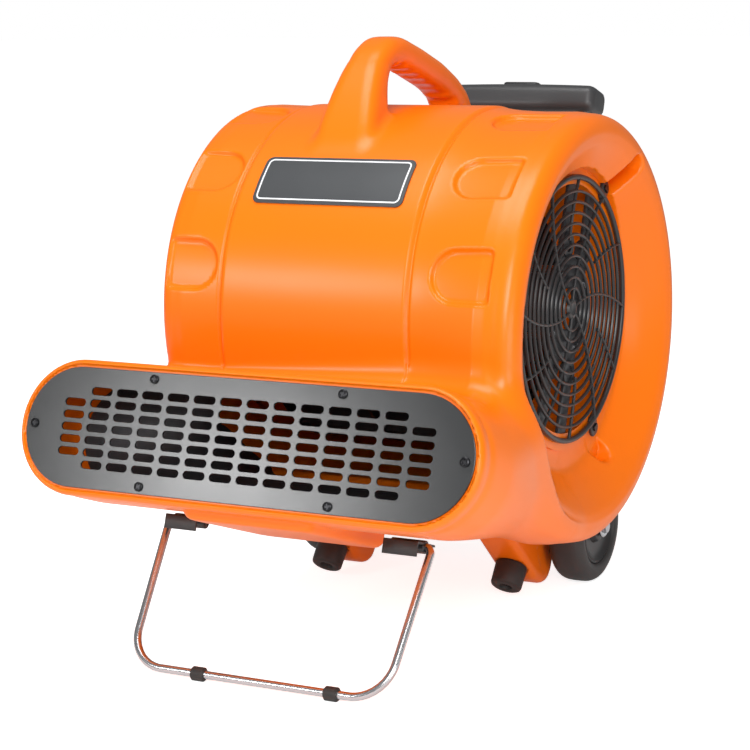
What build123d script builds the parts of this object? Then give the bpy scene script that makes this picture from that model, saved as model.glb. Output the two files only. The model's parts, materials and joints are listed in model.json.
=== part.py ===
from build123d import *
import math
import os

# Air mover: twin-inlet floor and carpet dryer on a fold-out kickstand.
# Everything is drawn in the flat attitude (axis of the drum on X, outlet towards -Y, +Z up),
# then tipped back onto the kickstand and the wheels, which is the rest pose.

# ---- driving dimensions, mm -------------------------------------------------
TILT = 21.0                                  # how far the kickstand tips the body back
WALL = 5.0                                   # moulded shell
GAP = 0.3                                    # between separate pieces
RUN = 0.05                                   # radial running clearance

DRUM_R = 190.0
SEAM_X = 96.0                                # edge of the raised middle band
SEAM_STEP = 2.0
RIM_R = 203.0                                # flared inlet rim, right side
RIM_Y, RIM_Z = 6.5, -16.8
LEFT_RIM_R = 190.0
RIM_X_RIGHT, RIM_X_LEFT = 207.0, -165.0
SEAT_X_RIGHT, SEAT_X_LEFT = 172.0, -134.0    # faces that the inlet rings sit on
INLET_R = 120.0
SEAT_R = 136.0

NOZZLE_W, NOZZLE_H = 464.0, 124.0
NOZZLE_Z = -180.0
NOZZLE_Y0, NOZZLE_Y1, NOZZLE_Y2 = -276.0, -215.0, -20.0
THROAT_W, THROAT_H, THROAT_X, THROAT_Z = 350.0, 120.0, 20.0, -125.0
BLOCK_W, BLOCK_Y0, BLOCK_Y1, BLOCK_Z = 66.0, -246.0, -100.0, -250.0
BLOCK_CHAMFER = 6.0

PLATE_W, PLATE_H, PLATE_T, PLATE_Y = 450.0, 109.0, 2.0, -272.0
SLOT_L, SLOT_H, SLOT_PITCH_X, SLOT_PITCH_Z = 22.0, 6.8, 27.0, 11.1
SLOT_ROWS, SLOT_COLUMNS, SHORT_COLUMNS = 7, 14, 12
PLATE_SCREWS = [(-95, 48), (95, 48), (-95, -48), (95, -48), (-216, 0), (216, 0)]
SCREW_HEAD_R, SCREW_HEAD_H, SCREW_SHANK_R, SCREW_HOLE_R = 4.2, 2.2, 1.9, 2.3

LABEL_W, LABEL_A0, LABEL_A1, LABEL_T = 156.0, 58.5, 74.5, 1.2
LABEL_BORDER, LABEL_INSET = 1.0, 3.0

HANDLE_X, HANDLE_HALF = -12.0, 20.0
HANDLE_BASE_HALF = 30.0
HANDLE_OUTER = [(-152, 96), (-153, 125), (-149, 150), (-144, 172), (-136, 196), (-124, 217), (-106, 234),
                (-84, 241.5), (-43, 243.5), (4, 243.4), (41, 239), (67, 231), (84, 217), (96, 198), (103, 175),
                (106, 150)]
HANDLE_INNER = [(66, 166), (68, 180), (63, 196), (50, 208), (30, 214.5), (10, 216.5), (-40, 216), (-80, 214.5),
                (-98, 207), (-107, 190), (-108, 172), (-104, 150)]

LEG_X0, LEG_X1 = 80.0, 120.0
LEG_SIDE = [(30, -150), (40, -212), (118, -246), (128, -252), (152, -254), (164, -248), (170, -232),
            (166, -212), (196, -196), (202, -180), (196, -164), (165, -120), (60, -110)]
FOOT_X, FOOT_R, FOOT_LENGTH, FOOT_LEAN = 101.0, 16.0, 24.0, 20.0
FOOT_Y, FOOT_Z = 100.0, -263.0
FOOT_RECESS_R, FOOT_RECESS_DEPTH = 6.0, 5.0

WHEEL_Y, WHEEL_Z, WHEEL_R = 176.0, -188.0, 57.0
WHEEL_X0, WHEEL_X1 = 125.0, 163.0
HUB_R, HUB_INSET = 38.0, 4.0
ARCH_GAP = 4.0                               # wheel arches in the housing
AXLE_R, AXLE_X = 6.0, 170.0
CAP_R, CAP_T = 11.0, 3.0

PIVOT_Y, PIVOT_Z = -150.0, -246.0
WIRE_R, SLEEVE_R, SLEEVE_L = 3.75, 6.5, 13.0
BAIL_TOP, BAIL_BOTTOM, BAIL_CORNER = 137.0, 131.0, 36.0
BAIL_PIN_X = 98.0
BAIL_LEAN = 38.0                             # from the floor's normal, deployed
SLEEVE_XS = [-56.0, 80.0]
BRACKET_X0, BRACKET_X1 = 97.0, 131.0
BRACKET_T = 2.0
BRACKET_Y0, BRACKET_Y1, FLANGE_Z = -168.0, -132.0, -256.0
KNUCKLE_R = 6.0
TAB_T, TAB_REACH = 3.0, 10.0                 # stop that the deployed bail leans on

TUBE_X, TUBE_Y = 75.0, 207.0
OUTER_R, INNER_R, TUBE_WALL = 12.5, 10.0, 1.5
OUTER_Z0, OUTER_Z1, INNER_Z0 = -150.0, 215.0, -135.0
HANDLE_TRAVEL = 280.0
YOKE_W, YOKE_T = 98.0, 18.0
YOKE_Z_LOW, YOKE_Z_HIGH = -96.0, 128.0
YOKE_Y0, YOKE_Y1 = 110.0, 224.0
GRIP_W, GRIP_Y0, GRIP_Y1, GRIP_Z0, GRIP_Z1 = 93.0, 184.0, 228.0, 252.0, 280.0
GRIP_ROUND = 8.0
BUTTON_W, BUTTON_D, BUTTON_RISE, BUTTON_DEEP, BUTTON_TRAVEL = 21.0, 10.0, 4.0, 14.0, 3.0

FAN_X0, FAN_X1, DISC_X, DISC_T = -78.0, 108.0, 12.0, 3.0
FAN_R, BLADE_DEPTH, BLADE_T, BLADES, BLADE_ANGLE = 138.0, 26.0, 1.6, 44, 28.0
FAN_RING_T = 3.0
SHAFT_R, SHAFT_X0, SHAFT_X1 = 7.0, -22.0, 132.0
FAN_HUB_R, FAN_HUB_X0 = 18.0, -18.0
MOTOR_R, MOTOR_X0, MOTOR_X1, BELL_T = 58.0, 30.0, 118.0, 8.0
MOTOR_WALL, STATOR_WALL, CORE_GAP = 5.0, 16.0, 1.0
BEARING_R = 16.0
STUD_R, STUD_PCR, STUDS = 4.0, 44.0, 4
SPIDER_T, SPIDER_ARM_W, SPIDER_RING_R = 4.0, 20.0, 52.0
RING_T = 2.0
GROMMET_R, GROMMET_T = 9.0, 8.0
CAPACITOR_R, CAPACITOR_L = 15.0, 60.0

GRILLE_R, GRILLE_T, GRILLE_SKIRT = 131.0, 3.0, 10.0
GRILLE_RINGS, GRILLE_WIRE, GRILLE_SPOKES = 9, 3.0, 12
GRILLE_EDGE, GRILLE_HUB_R = 6.0, 12.0
LUG_R, LUG_ANGLES = 8.0, [72.0, 192.0, 312.0]

PANEL_W, PANEL_H, PANEL_Y0, PANEL_Y1 = 50.0, 42.0, 150.0, 204.0
KNOB_R, KNOB_L, KNOB_Z = 15.0, 15.0, 12.0
KNOB_SHAFT_R, KNOB_SHAFT_L = 3.0, 6.0
BREAKER_X, LAMP_X, SMALL_Z = -28.0, 28.0, -22.0
BREAKER_R, BREAKER_COLLAR_R, BREAKER_RISE = 5.0, 8.0, 5.0
LAMP_R, LAMP_H = 5.0, 3.0
GLAND_Z, GLAND_R, GLAND_BORE_R, GLAND_L = -27.0, 7.0, 4.2, 14.0


# ---- helpers ----------------------------------------------------------------
def box(x0, x1, y0, y1, z0, z1):
    """Box between two corners."""
    return Pos((x0 + x1) / 2, (y0 + y1) / 2, (z0 + z1) / 2) * Box(x1 - x0, y1 - y0, z1 - z0)


def rod_x(r, x0, x1, y=0.0, z=0.0):
    """Cylinder along X."""
    return Pos((x0 + x1) / 2, y, z) * Rot(0, 90, 0) * Cylinder(r, abs(x1 - x0))


def rod_y(r, x, y0, y1, z):
    """Cylinder along Y."""
    return Pos(x, (y0 + y1) / 2, z) * Rot(90, 0, 0) * Cylinder(r, abs(y1 - y0))


def rod_z(r, x, y, z0, z1):
    """Cylinder along Z."""
    return Pos(x, y, (z0 + z1) / 2) * Cylinder(r, abs(z1 - z0))


def ring_x(outer, inner, x0, x1, y=0.0, z=0.0):
    """Ring with its axis along X."""
    return rod_x(outer, x0, x1, y, z) - rod_x(inner, x0 - 1, x1 + 1, y, z)


def prism_x(points, x0, x1):
    """Polygon in the YZ plane, extruded along X."""
    face = make_face(Polyline(*points, close=True))
    return extrude(Plane.YZ.offset(x0) * face, amount=x1 - x0)


def turned_x(profile, y=0.0, z=0.0):
    """Solid of revolution about an axis along X, from (x, radius) points."""
    face = make_face(Polyline(*profile, close=True))
    return Pos(0, y, z) * revolve(face, Axis.X)


def stadium(width, height, x, y, z):
    """Stadium face that looks along -Y."""
    plane = Plane(origin=(x, y, z), x_dir=(1, 0, 0), z_dir=(0, -1, 0))
    return plane * SlotOverall(width, height)


def grown(points, amount):
    """The (x, radius) outline of a rim, made thinner by amount on every side but its open end."""
    face = make_face(Polyline(*points, close=True))
    return offset(face, amount=-amount)


# ---- housing ----------------------------------------------------------------
def rim_profile(seat_x, rim_x, rim_r, inset):
    """Outline of a rolled inlet rim: flat seat, bell-shaped throat, rounded lip, outer wall."""
    side = math.copysign(1, rim_x)
    depth = abs(rim_x) - abs(seat_x)
    reach = rim_r - SEAT_R
    back = abs(seat_x) - 3 * WALL - 2 * WALL
    marks = [(0.17, 0.09), (0.42, 0.22), (0.70, 0.40), (0.92, 0.58), (1.0, 0.74), (0.93, 0.88), (0.75, 0.97),
             (0.45, 1.0)]
    points = [(back, 0.0), (abs(seat_x) - inset, 0.0), (abs(seat_x) - inset, SEAT_R + inset)]
    centre_x, centre_r = abs(seat_x) + 0.45 * depth - WALL, SEAT_R + 0.68 * reach
    for along, out in marks:
        x = abs(seat_x) + along * depth
        r = SEAT_R + out * reach
        away = math.hypot(x - centre_x, r - centre_r)
        points.append((x - inset * (x - centre_x) / away, r - inset * (r - centre_r) / away))
    points.append((back, rim_r - inset))
    return [(side * x, r) for x, r in points]


def housing_body(inset):
    """The outside of the housing, or its inside when inset is the wall thickness."""
    body = rod_x(DRUM_R - inset, SEAT_X_LEFT + inset, SEAT_X_RIGHT - inset)
    if inset == 0:
        for side in (-1, 1):
            body -= ring_x(DRUM_R + WALL, DRUM_R - SEAM_STEP, side * SEAM_X, side * (SEAM_X + WALL))
    body += turned_x(rim_profile(SEAT_X_RIGHT, RIM_X_RIGHT, RIM_R, inset), RIM_Y, RIM_Z)
    body += turned_x(rim_profile(SEAT_X_LEFT, RIM_X_LEFT, LEFT_RIM_R, inset))
    cone_start = Plane.YZ.offset(SEAM_X + WALL) * Circle(DRUM_R - SEAM_STEP - inset)
    cone_end = Plane(origin=(SEAT_X_RIGHT - WALL, RIM_Y, RIM_Z), x_dir=(0, 1, 0), z_dir=(1, 0, 0)) \
        * Circle(RIM_R - inset)
    body += loft([cone_start, cone_end])
    mouth = stadium(NOZZLE_W - 2 * inset, NOZZLE_H - 2 * inset, 0, NOZZLE_Y0, NOZZLE_Z)
    body += extrude(mouth, amount=NOZZLE_Y0 - NOZZLE_Y1)
    waist = stadium(NOZZLE_W - 2 * inset, NOZZLE_H - 2 * inset, 0, NOZZLE_Y1, NOZZLE_Z)
    throat = stadium(THROAT_W - 2 * inset, THROAT_H - 2 * inset, THROAT_X, NOZZLE_Y2, THROAT_Z)
    body += loft([waist, throat])
    side = BLOCK_W - inset
    floor = BLOCK_Z + inset
    block = [(-side, NOZZLE_Z), (-side, floor + BLOCK_CHAMFER), (-side + BLOCK_CHAMFER, floor),
             (side - BLOCK_CHAMFER, floor), (side, floor + BLOCK_CHAMFER), (side, NOZZLE_Z)]
    face = Plane(origin=(0, BLOCK_Y0 + inset, 0), x_dir=(1, 0, 0), z_dir=(0, -1, 0)) \
        * make_face(Polyline(*block, close=True))
    body += extrude(face, amount=BLOCK_Y0 - BLOCK_Y1 + 2 * inset)
    for x0, x1 in ((LEG_X0, LEG_X1), (-LEG_X1, -LEG_X0)):
        outline = make_face(Polyline(*LEG_SIDE, close=True))
        if inset > 0:
            outline = offset(outline, amount=-inset)
        leg = extrude(Plane.YZ.offset(x0 + inset) * outline, amount=x1 - x0 - 2 * inset)
        body += leg
    for x0, x1 in ((WHEEL_X0, WHEEL_X1), (-WHEEL_X1, -WHEEL_X0)):
        body -= rod_x(WHEEL_R + ARCH_GAP + inset, x0 - ARCH_GAP - inset, x1 + ARCH_GAP + inset, WHEEL_Y, WHEEL_Z)
    return body


def housing():
    """Hollow moulding, open at the outlet and at both inlets."""
    shell = housing_body(0) - housing_body(WALL)
    mouth = stadium(NOZZLE_W - 2 * WALL, NOZZLE_H - 2 * WALL, 0, NOZZLE_Y1, NOZZLE_Z)
    shell -= extrude(mouth, amount=NOZZLE_Y1 - NOZZLE_Y0 + 1)
    shell -= rod_x(INLET_R + RING_T + GAP, RIM_X_LEFT - 1, RIM_X_RIGHT + 1)
    clear = ring_x(GRILLE_R + LUG_R + GAP, INLET_R, SEAT_X_RIGHT, RIM_X_RIGHT)
    shell -= clear
    shell -= ring_x(GRILLE_R + LUG_R + GAP, INLET_R, RIM_X_LEFT, SEAT_X_LEFT)
    shell -= rod_x(AXLE_R + RUN, -AXLE_X, AXLE_X, WHEEL_Y, WHEEL_Z)
    for x in (-FOOT_X, FOOT_X):
        shell -= foot_body(x, GAP)
    return shell


# ---- outlet and label -------------------------------------------------------
def outlet_plate():
    """Stadium plate with rows of obround slots."""
    face = SlotOverall(PLATE_W, PLATE_H)
    slots = []
    for row in range(SLOT_ROWS):
        short = row in (0, SLOT_ROWS - 1)
        count = SHORT_COLUMNS if short else SLOT_COLUMNS
        for column in range(count):
            x = (column - (count - 1) / 2) * SLOT_PITCH_X
            z = (row - (SLOT_ROWS - 1) / 2) * SLOT_PITCH_Z
            slots.append(Pos(x, z) * SlotOverall(SLOT_L, SLOT_H))
    face -= slots
    face -= [Pos(x, z) * Circle(SCREW_HOLE_R) for x, z in PLATE_SCREWS]
    plane = Plane(origin=(0, PLATE_Y, NOZZLE_Z), x_dir=(1, 0, 0), z_dir=(0, -1, 0))
    return extrude(plane * face, amount=PLATE_T)


def plate_screws():
    """Heads and shanks of the plate's screws, one group."""
    front = PLATE_Y - PLATE_T
    group = []
    for x, z in PLATE_SCREWS:
        head = rod_y(SCREW_HEAD_R, x, front - SCREW_HEAD_H, front, NOZZLE_Z + z)
        shank = rod_y(SCREW_SHANK_R, x, front, PLATE_Y, NOZZLE_Z + z)
        group.append(head + shank)
    return Compound(children=group)


def plate_seat():
    """Inner ledge that the plate is screwed to, moulded as a ring."""
    inside = NOZZLE_W - 2 * WALL - 2 * GAP
    height = NOZZLE_H - 2 * WALL - 2 * GAP
    ledge = 2 * WALL
    outer = stadium(inside, height, 0, PLATE_Y, NOZZLE_Z)
    inner = stadium(inside - 2 * ledge, height - 2 * ledge, 0, PLATE_Y, NOZZLE_Z)
    return extrude(outer - inner, amount=-WALL)


def arc_band(half_width, angle0, angle1, r0, r1):
    """Piece of a drum-shaped band; angles go forward from straight up."""
    points = []
    steps = 12
    for i in range(steps + 1):
        a = math.radians(angle0 + (angle1 - angle0) * i / steps)
        points.append((-r1 * math.sin(a), r1 * math.cos(a)))
    for i in range(steps + 1):
        a = math.radians(angle1 + (angle0 - angle1) * i / steps)
        points.append((-r0 * math.sin(a), r0 * math.cos(a)))
    return prism_x(points, -half_width, half_width)


def label_plate():
    """Blank plate that follows the drum."""
    base = DRUM_R + GAP
    return arc_band(LABEL_W / 2, LABEL_A0, LABEL_A1, base, base + LABEL_T)


def label_border():
    """Border line of the label, a thin frame on its face."""
    base = DRUM_R + GAP + LABEL_T + GAP
    inset = math.degrees(LABEL_INSET / DRUM_R)
    line = math.degrees(LABEL_BORDER / DRUM_R)
    half = LABEL_W / 2 - LABEL_INSET
    outer = arc_band(half, LABEL_A0 + inset, LABEL_A1 - inset, base, base + LABEL_BORDER)
    hole = arc_band(half - LABEL_BORDER, LABEL_A0 + inset + line, LABEL_A1 - inset - line, base - 1,
                    base + 2 * LABEL_BORDER)
    return outer - hole


# ---- carry handle -----------------------------------------------------------
def carry_handle():
    """Arched handle; its window is the finger gap."""
    arch = prism_x(HANDLE_OUTER + HANDLE_INNER, HANDLE_X - HANDLE_BASE_HALF, HANDLE_X + HANDLE_BASE_HALF)
    taper = [(-HANDLE_BASE_HALF, 90), (-HANDLE_BASE_HALF, 135), (-HANDLE_HALF, 205), (-HANDLE_HALF, 250),
             (HANDLE_HALF, 250), (HANDLE_HALF, 205), (HANDLE_BASE_HALF, 135), (HANDLE_BASE_HALF, 90)]
    plane = Plane(origin=(HANDLE_X, -200, 0), x_dir=(1, 0, 0), z_dir=(0, -1, 0))
    arch &= extrude(plane * make_face(Polyline(*taper, close=True)), amount=-400)
    return arch - rod_x(DRUM_R + GAP, -DRUM_R, DRUM_R)


# ---- inlets -----------------------------------------------------------------
def inlet_ring(seat_x):
    """Flanged bell that leads the air into the fan."""
    side = math.copysign(1, seat_x)
    fan_edge = FAN_X1 + FAN_RING_T + 2 if side > 0 else FAN_X0 - FAN_RING_T - 2
    throat = FAN_R - BLADE_DEPTH + 2
    seat = seat_x + side * GAP
    profile = [(seat, SEAT_R - 2), (seat, INLET_R), (fan_edge, throat), (fan_edge, throat - RING_T),
               (seat + side * RING_T, INLET_R - RING_T), (seat + side * RING_T, SEAT_R - 2)]
    return turned_x(profile)


def inlet_grille(seat_x):
    """Round guard: skirt, rings and spokes in one moulding, with three lugs."""
    side = math.copysign(1, seat_x)
    base = seat_x + side * (GAP + RING_T)
    face = Circle(GRILLE_R) - Circle(GRILLE_R - GRILLE_EDGE)
    pitch = (GRILLE_R - GRILLE_EDGE - GRILLE_HUB_R) / (GRILLE_RINGS + 1)
    for i in range(1, GRILLE_RINGS + 1):
        r = GRILLE_HUB_R + i * pitch
        face += Circle(r + GRILLE_WIRE / 2) - Circle(r - GRILLE_WIRE / 2)
    face += Circle(GRILLE_HUB_R)
    reach = GRILLE_R - GRILLE_EDGE / 2
    for i in range(GRILLE_SPOKES):
        spoke = Pos(reach / 2, 0) * Rectangle(reach, GRILLE_WIRE)
        face += Rot(0, 0, i * 360 / GRILLE_SPOKES) * spoke
    top = base + side * (GRILLE_SKIRT - GRILLE_T)
    plane = Plane(origin=(top, 0, 0), x_dir=(0, 1, 0), z_dir=(side, 0, 0))
    guard = extrude(plane * face, amount=GRILLE_T)
    guard += ring_x(GRILLE_R, GRILLE_R - WALL / 2, min(base, top), max(base, top))
    for angle in LUG_ANGLES:
        a = math.radians(angle)
        y, z = GRILLE_R * math.cos(a), GRILLE_R * math.sin(a)
        lug = rod_x(LUG_R, base, base + side * GRILLE_T, y, z)
        guard += lug - rod_x(GRILLE_R - WALL / 2, SEAT_X_LEFT * 2, SEAT_X_RIGHT * 2)
    return guard


def grille_screws():
    """Pan heads on the lugs of both guards, one group."""
    group = []
    for seat_x in (SEAT_X_LEFT, SEAT_X_RIGHT):
        side = math.copysign(1, seat_x)
        base = seat_x + side * (GAP + RING_T + GRILLE_T)
        for angle in LUG_ANGLES:
            a = math.radians(angle)
            r = GRILLE_R + SCREW_HEAD_R / 2
            head = rod_x(SCREW_HEAD_R, base, base + side * SCREW_HEAD_H, r * math.cos(a), r * math.sin(a))
            group.append(head - rod_x(GRILLE_R + RUN, SEAT_X_LEFT * 2, SEAT_X_RIGHT * 2))
    return Compound(children=group)


# ---- fan and motor ----------------------------------------------------------
def fan_blades():
    """Two rows of blades in one drum, with a ring at each end and the disc between."""
    ring = ring_x(FAN_R, FAN_R - BLADE_DEPTH, FAN_X0 - FAN_RING_T, FAN_X0)
    ring += ring_x(FAN_R, FAN_R - BLADE_DEPTH, FAN_X1, FAN_X1 + FAN_RING_T)
    ring += ring_x(FAN_R, FAN_R - BLADE_DEPTH, DISC_X, DISC_X + DISC_T)
    reach = BLADE_DEPTH / math.cos(math.radians(BLADE_ANGLE)) * 0.9
    blade = box(FAN_X0, FAN_X1, -BLADE_T / 2, BLADE_T / 2, -reach / 2, reach / 2)
    blade = Pos(0, 0, FAN_R - BLADE_DEPTH / 2) * Rot(BLADE_ANGLE, 0, 0) * blade
    blades = [Rot(i * 360 / BLADES, 0, 0) * blade for i in range(BLADES)]
    return ring + blades


def fan_disc():
    """Back plate that joins the blades to the hub."""
    return ring_x(FAN_R - BLADE_DEPTH, FAN_HUB_R, DISC_X, DISC_X + DISC_T)


def motor_ring(x0, x1, bore):
    """Disc at an end of the motor."""
    return ring_x(MOTOR_R, bore, x0, x1)


def studs():
    """Long studs between the motor and its spider, one group."""
    group = []
    for i in range(STUDS):
        a = math.radians(45 + i * 360 / STUDS)
        start, end = MOTOR_X1 + BELL_T, SEAT_X_RIGHT + GAP + RING_T
        group.append(rod_x(STUD_R, start, end, STUD_PCR * math.cos(a), STUD_PCR * math.sin(a)))
    return Compound(children=group)


def spider():
    """Four arms across the right inlet that carry the motor."""
    start = SEAT_X_RIGHT + GAP + RING_T
    plate = ring_x(SPIDER_RING_R, SPIDER_RING_R / 2, start, start + SPIDER_T)
    reach = GRILLE_R - WALL / 2 - 1
    for i in range(STUDS):
        arm = box(start, start + SPIDER_T, -SPIDER_ARM_W / 2, SPIDER_ARM_W / 2, SPIDER_RING_R - 5, reach - 1)
        plate += Rot(45 + i * 360 / STUDS, 0, 0) * arm
    return plate


def grommets():
    """Rubber sleeves on the studs, against the motor, one group."""
    start = MOTOR_X1 + BELL_T
    pads = []
    for i in range(STUDS):
        a = math.radians(45 + i * 360 / STUDS)
        y, z = STUD_PCR * math.cos(a), STUD_PCR * math.sin(a)
        pads.append(ring_x(GROMMET_R, STUD_R + GAP, start, start + GROMMET_T, y, z))
    return Compound(children=pads)


# ---- wheels and feet --------------------------------------------------------
def tyre(side):
    """Solid tyre with rounded shoulders."""
    x0, x1 = WHEEL_X0, WHEEL_X1
    crown = WHEEL_R - HUB_R
    profile = [(x0 + 3, HUB_R), (x0, HUB_R + crown * 0.4), (x0 + 4, WHEEL_R - 4), (x0 + 10, WHEEL_R),
               (x1 - 10, WHEEL_R), (x1 - 4, WHEEL_R - 4), (x1, HUB_R + crown * 0.4), (x1 - 3, HUB_R)]
    return turned_x([(side * x, r) for x, r in profile], WHEEL_Y, WHEEL_Z)


def wheel_hub(side):
    """Dished hub with a running bore."""
    x0, x1 = WHEEL_X0 + HUB_INSET, WHEEL_X1 - HUB_INSET
    profile = [(x0, AXLE_R + RUN), (x0, HUB_R - RUN), (x1, HUB_R - RUN), (x1, HUB_R - 5), (x1 - 5, HUB_R - 9),
               (x1 - 5, AXLE_R + 8), (x1 + HUB_INSET, AXLE_R + 8), (x1 + HUB_INSET, AXLE_R + RUN)]
    return turned_x([(side * x, r) for x, r in profile], WHEEL_Y, WHEEL_Z)


def axle_caps():
    """Push-on caps at the ends of the axle, one group."""
    group = []
    for side in (-1, 1):
        ring = ring_x(CAP_R, AXLE_R, min(side * (WHEEL_X1 + 1), side * (WHEEL_X1 + 1 + CAP_T)),
                      max(side * (WHEEL_X1 + 1), side * (WHEEL_X1 + 1 + CAP_T)), WHEEL_Y, WHEEL_Z)
        group.append(ring)
    return Compound(children=group)


def foot_body(x, grow=0.0):
    """Rubber foot square to the sloping face of a leg, with a recess in its end."""
    length = FOOT_LENGTH + grow
    body = Pos(0, 0, length / 2) * Cylinder(FOOT_R + grow, length)
    if grow == 0:
        body -= Pos(0, 0, FOOT_RECESS_DEPTH / 2) * Cylinder(FOOT_RECESS_R, FOOT_RECESS_DEPTH)
    return Pos(x, FOOT_Y, FOOT_Z) * Rot(-FOOT_LEAN, 0, 0) * body


def foot_screws():
    """Screw heads at the bottom of the recesses, one group."""
    group = []
    for x in (-FOOT_X, FOOT_X):
        z = FOOT_RECESS_DEPTH - 1
        head = Pos(0, 0, z) * Cylinder(FOOT_RECESS_R - 1, 2 - 2 * RUN)
        group.append(Pos(x, FOOT_Y, FOOT_Z) * Rot(-FOOT_LEAN, 0, 0) * head)
    return Compound(children=group)


# ---- kickstand --------------------------------------------------------------
def bail_length():
    """Pivot to bar, so that the sleeves and the wheels touch one floor."""
    t = math.radians(TILT)
    pivot = -PIVOT_Y * math.sin(t) + PIVOT_Z * math.cos(t)
    floor = -WHEEL_Y * math.sin(t) + WHEEL_Z * math.cos(t) - WHEEL_R
    return (pivot - floor - SLEEVE_R) / math.cos(math.radians(BAIL_LEAN))


def bail_plane():
    """Plane of the deployed bail: local x is X, local y goes from the bar to the pivot."""
    lean = math.radians(BAIL_LEAN - TILT)
    return Plane(origin=(0, PIVOT_Y, PIVOT_Z), x_dir=(1, 0, 0), z_dir=(0, -math.cos(lean), math.sin(lean)))


def bail():
    """Bent wire: two pins, two legs and the bar."""
    length = bail_length()
    points = [(-BAIL_PIN_X, 0), (-BAIL_TOP, 0), (-BAIL_BOTTOM, -length), (BAIL_BOTTOM, -length), (BAIL_TOP, 0),
              (BAIL_PIN_X, 0)]
    path = FilletPolyline(*[(x, y) for x, y in points[1:5]], radius=BAIL_CORNER)
    plane = bail_plane()
    wire = plane * path
    start = wire @ 0
    section = Plane(origin=start, z_dir=wire % 0) * Circle(WIRE_R)
    rod = sweep(section, path=wire)
    for side in (-1, 1):
        rod += rod_x(WIRE_R, min(side * BAIL_PIN_X, side * BAIL_TOP), max(side * BAIL_PIN_X, side * BAIL_TOP),
                     PIVOT_Y, PIVOT_Z)
        rod += Pos(side * BAIL_TOP, PIVOT_Y, PIVOT_Z) * Sphere(WIRE_R)
    return rod


def sleeve(x):
    """Rubber sleeve on the bar."""
    lean = math.radians(BAIL_LEAN - TILT)
    length = bail_length()
    y, z = PIVOT_Y - length * math.sin(lean), PIVOT_Z - length * math.cos(lean)
    return ring_x(SLEEVE_R, WIRE_R, x - SLEEVE_L / 2, x + SLEEVE_L / 2, y, z)


def bracket(side):
    """Folded sheet: top plate, front flange and the knuckle that the wire turns in."""
    x0, x1 = sorted((side * BRACKET_X0, side * BRACKET_X1))
    top = NOZZLE_Z - NOZZLE_H / 2 - GAP
    sheet = box(x0, x1, BRACKET_Y0, BRACKET_Y1, top - BRACKET_T, top)
    sheet += box(x0, x1, BRACKET_Y0, BRACKET_Y0 + BRACKET_T, FLANGE_Z, top)
    knuckle = rod_x(KNUCKLE_R, x0, x1, PIVOT_Y, PIVOT_Z)
    knuckle += box(x0, x1, PIVOT_Y - 2, PIVOT_Y + 2, PIVOT_Z, top)
    sheet += knuckle
    near = WIRE_R + GAP
    tab_x = sorted((side * (BRACKET_X1 - TAB_T), side * (BAIL_TOP + WIRE_R)))
    tab = box(*tab_x, -near - TAB_T, -near, -TAB_REACH, -1)
    sheet += Pos(0, PIVOT_Y, PIVOT_Z) * Rot(TILT - BAIL_LEAN, 0, 0) * tab
    sheet -= rod_x(WIRE_R + RUN, x0 - 1, x1 + 1, PIVOT_Y, PIVOT_Z)
    block = box(-BLOCK_W - GAP, BLOCK_W + GAP, BRACKET_Y0 - 1, BRACKET_Y1 + 1, BLOCK_Z * 1.1, NOZZLE_Z)
    return sheet - block


# ---- telescopic handle ------------------------------------------------------
def outer_tube(x):
    """Fixed tube behind the drum."""
    tube = rod_z(OUTER_R, x, TUBE_Y, OUTER_Z0, OUTER_Z1)
    return tube - rod_z(INNER_R + RUN, x, TUBE_Y, OUTER_Z0 - 1, OUTER_Z1 + 1)


def inner_tube(x):
    """Sliding tube."""
    tube = rod_z(INNER_R, x, TUBE_Y, INNER_Z0, GRIP_Z0)
    return tube - rod_z(INNER_R - TUBE_WALL, x, TUBE_Y, INNER_Z0 - 1, GRIP_Z0 + 1)


def yoke(z):
    """Cross piece that holds both tubes on the drum."""
    bar = box(-YOKE_W, YOKE_W, YOKE_Y0, YOKE_Y1, z - YOKE_T / 2, z + YOKE_T / 2)
    bar -= rod_x(DRUM_R + GAP, -YOKE_W - 1, YOKE_W + 1)
    for x in (-TUBE_X, TUBE_X):
        bar -= rod_z(OUTER_R + RUN, x, TUBE_Y, z - YOKE_T, z + YOKE_T)
    return bar


def yoke_screws():
    """Bolt heads on both yokes, one group."""
    group = []
    for z in (YOKE_Z_LOW, YOKE_Z_HIGH):
        for x in (-TUBE_X / 2, 0, TUBE_X / 2):
            group.append(rod_y(SCREW_HEAD_R, x, YOKE_Y1, YOKE_Y1 + SCREW_HEAD_H, z))
    return Compound(children=group)


def grip():
    """Rounded bar with a well for the button."""
    body = box(-GRIP_W, GRIP_W, GRIP_Y0, GRIP_Y1, GRIP_Z0, GRIP_Z1)
    body = fillet(body.edges().filter_by(Axis.X), radius=GRIP_ROUND)
    body = fillet(body.edges().group_by(Axis.X)[0] + body.edges().group_by(Axis.X)[-1], radius=GRIP_ROUND / 2)
    middle = (GRIP_Y0 + GRIP_Y1) / 2
    well = box(-BUTTON_W - GAP, BUTTON_W + GAP, middle - BUTTON_D - GAP, middle + BUTTON_D + GAP,
               GRIP_Z1 - BUTTON_DEEP - BUTTON_TRAVEL, GRIP_Z1 + 1)
    return body - well


def release_button():
    """Push button in the top of the grip."""
    middle = (GRIP_Y0 + GRIP_Y1) / 2
    body = box(-BUTTON_W, BUTTON_W, middle - BUTTON_D, middle + BUTTON_D, GRIP_Z1 - BUTTON_DEEP + GAP,
               GRIP_Z1 + BUTTON_RISE)
    return fillet(body.edges().group_by(Axis.Z)[-1], radius=2)


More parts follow.
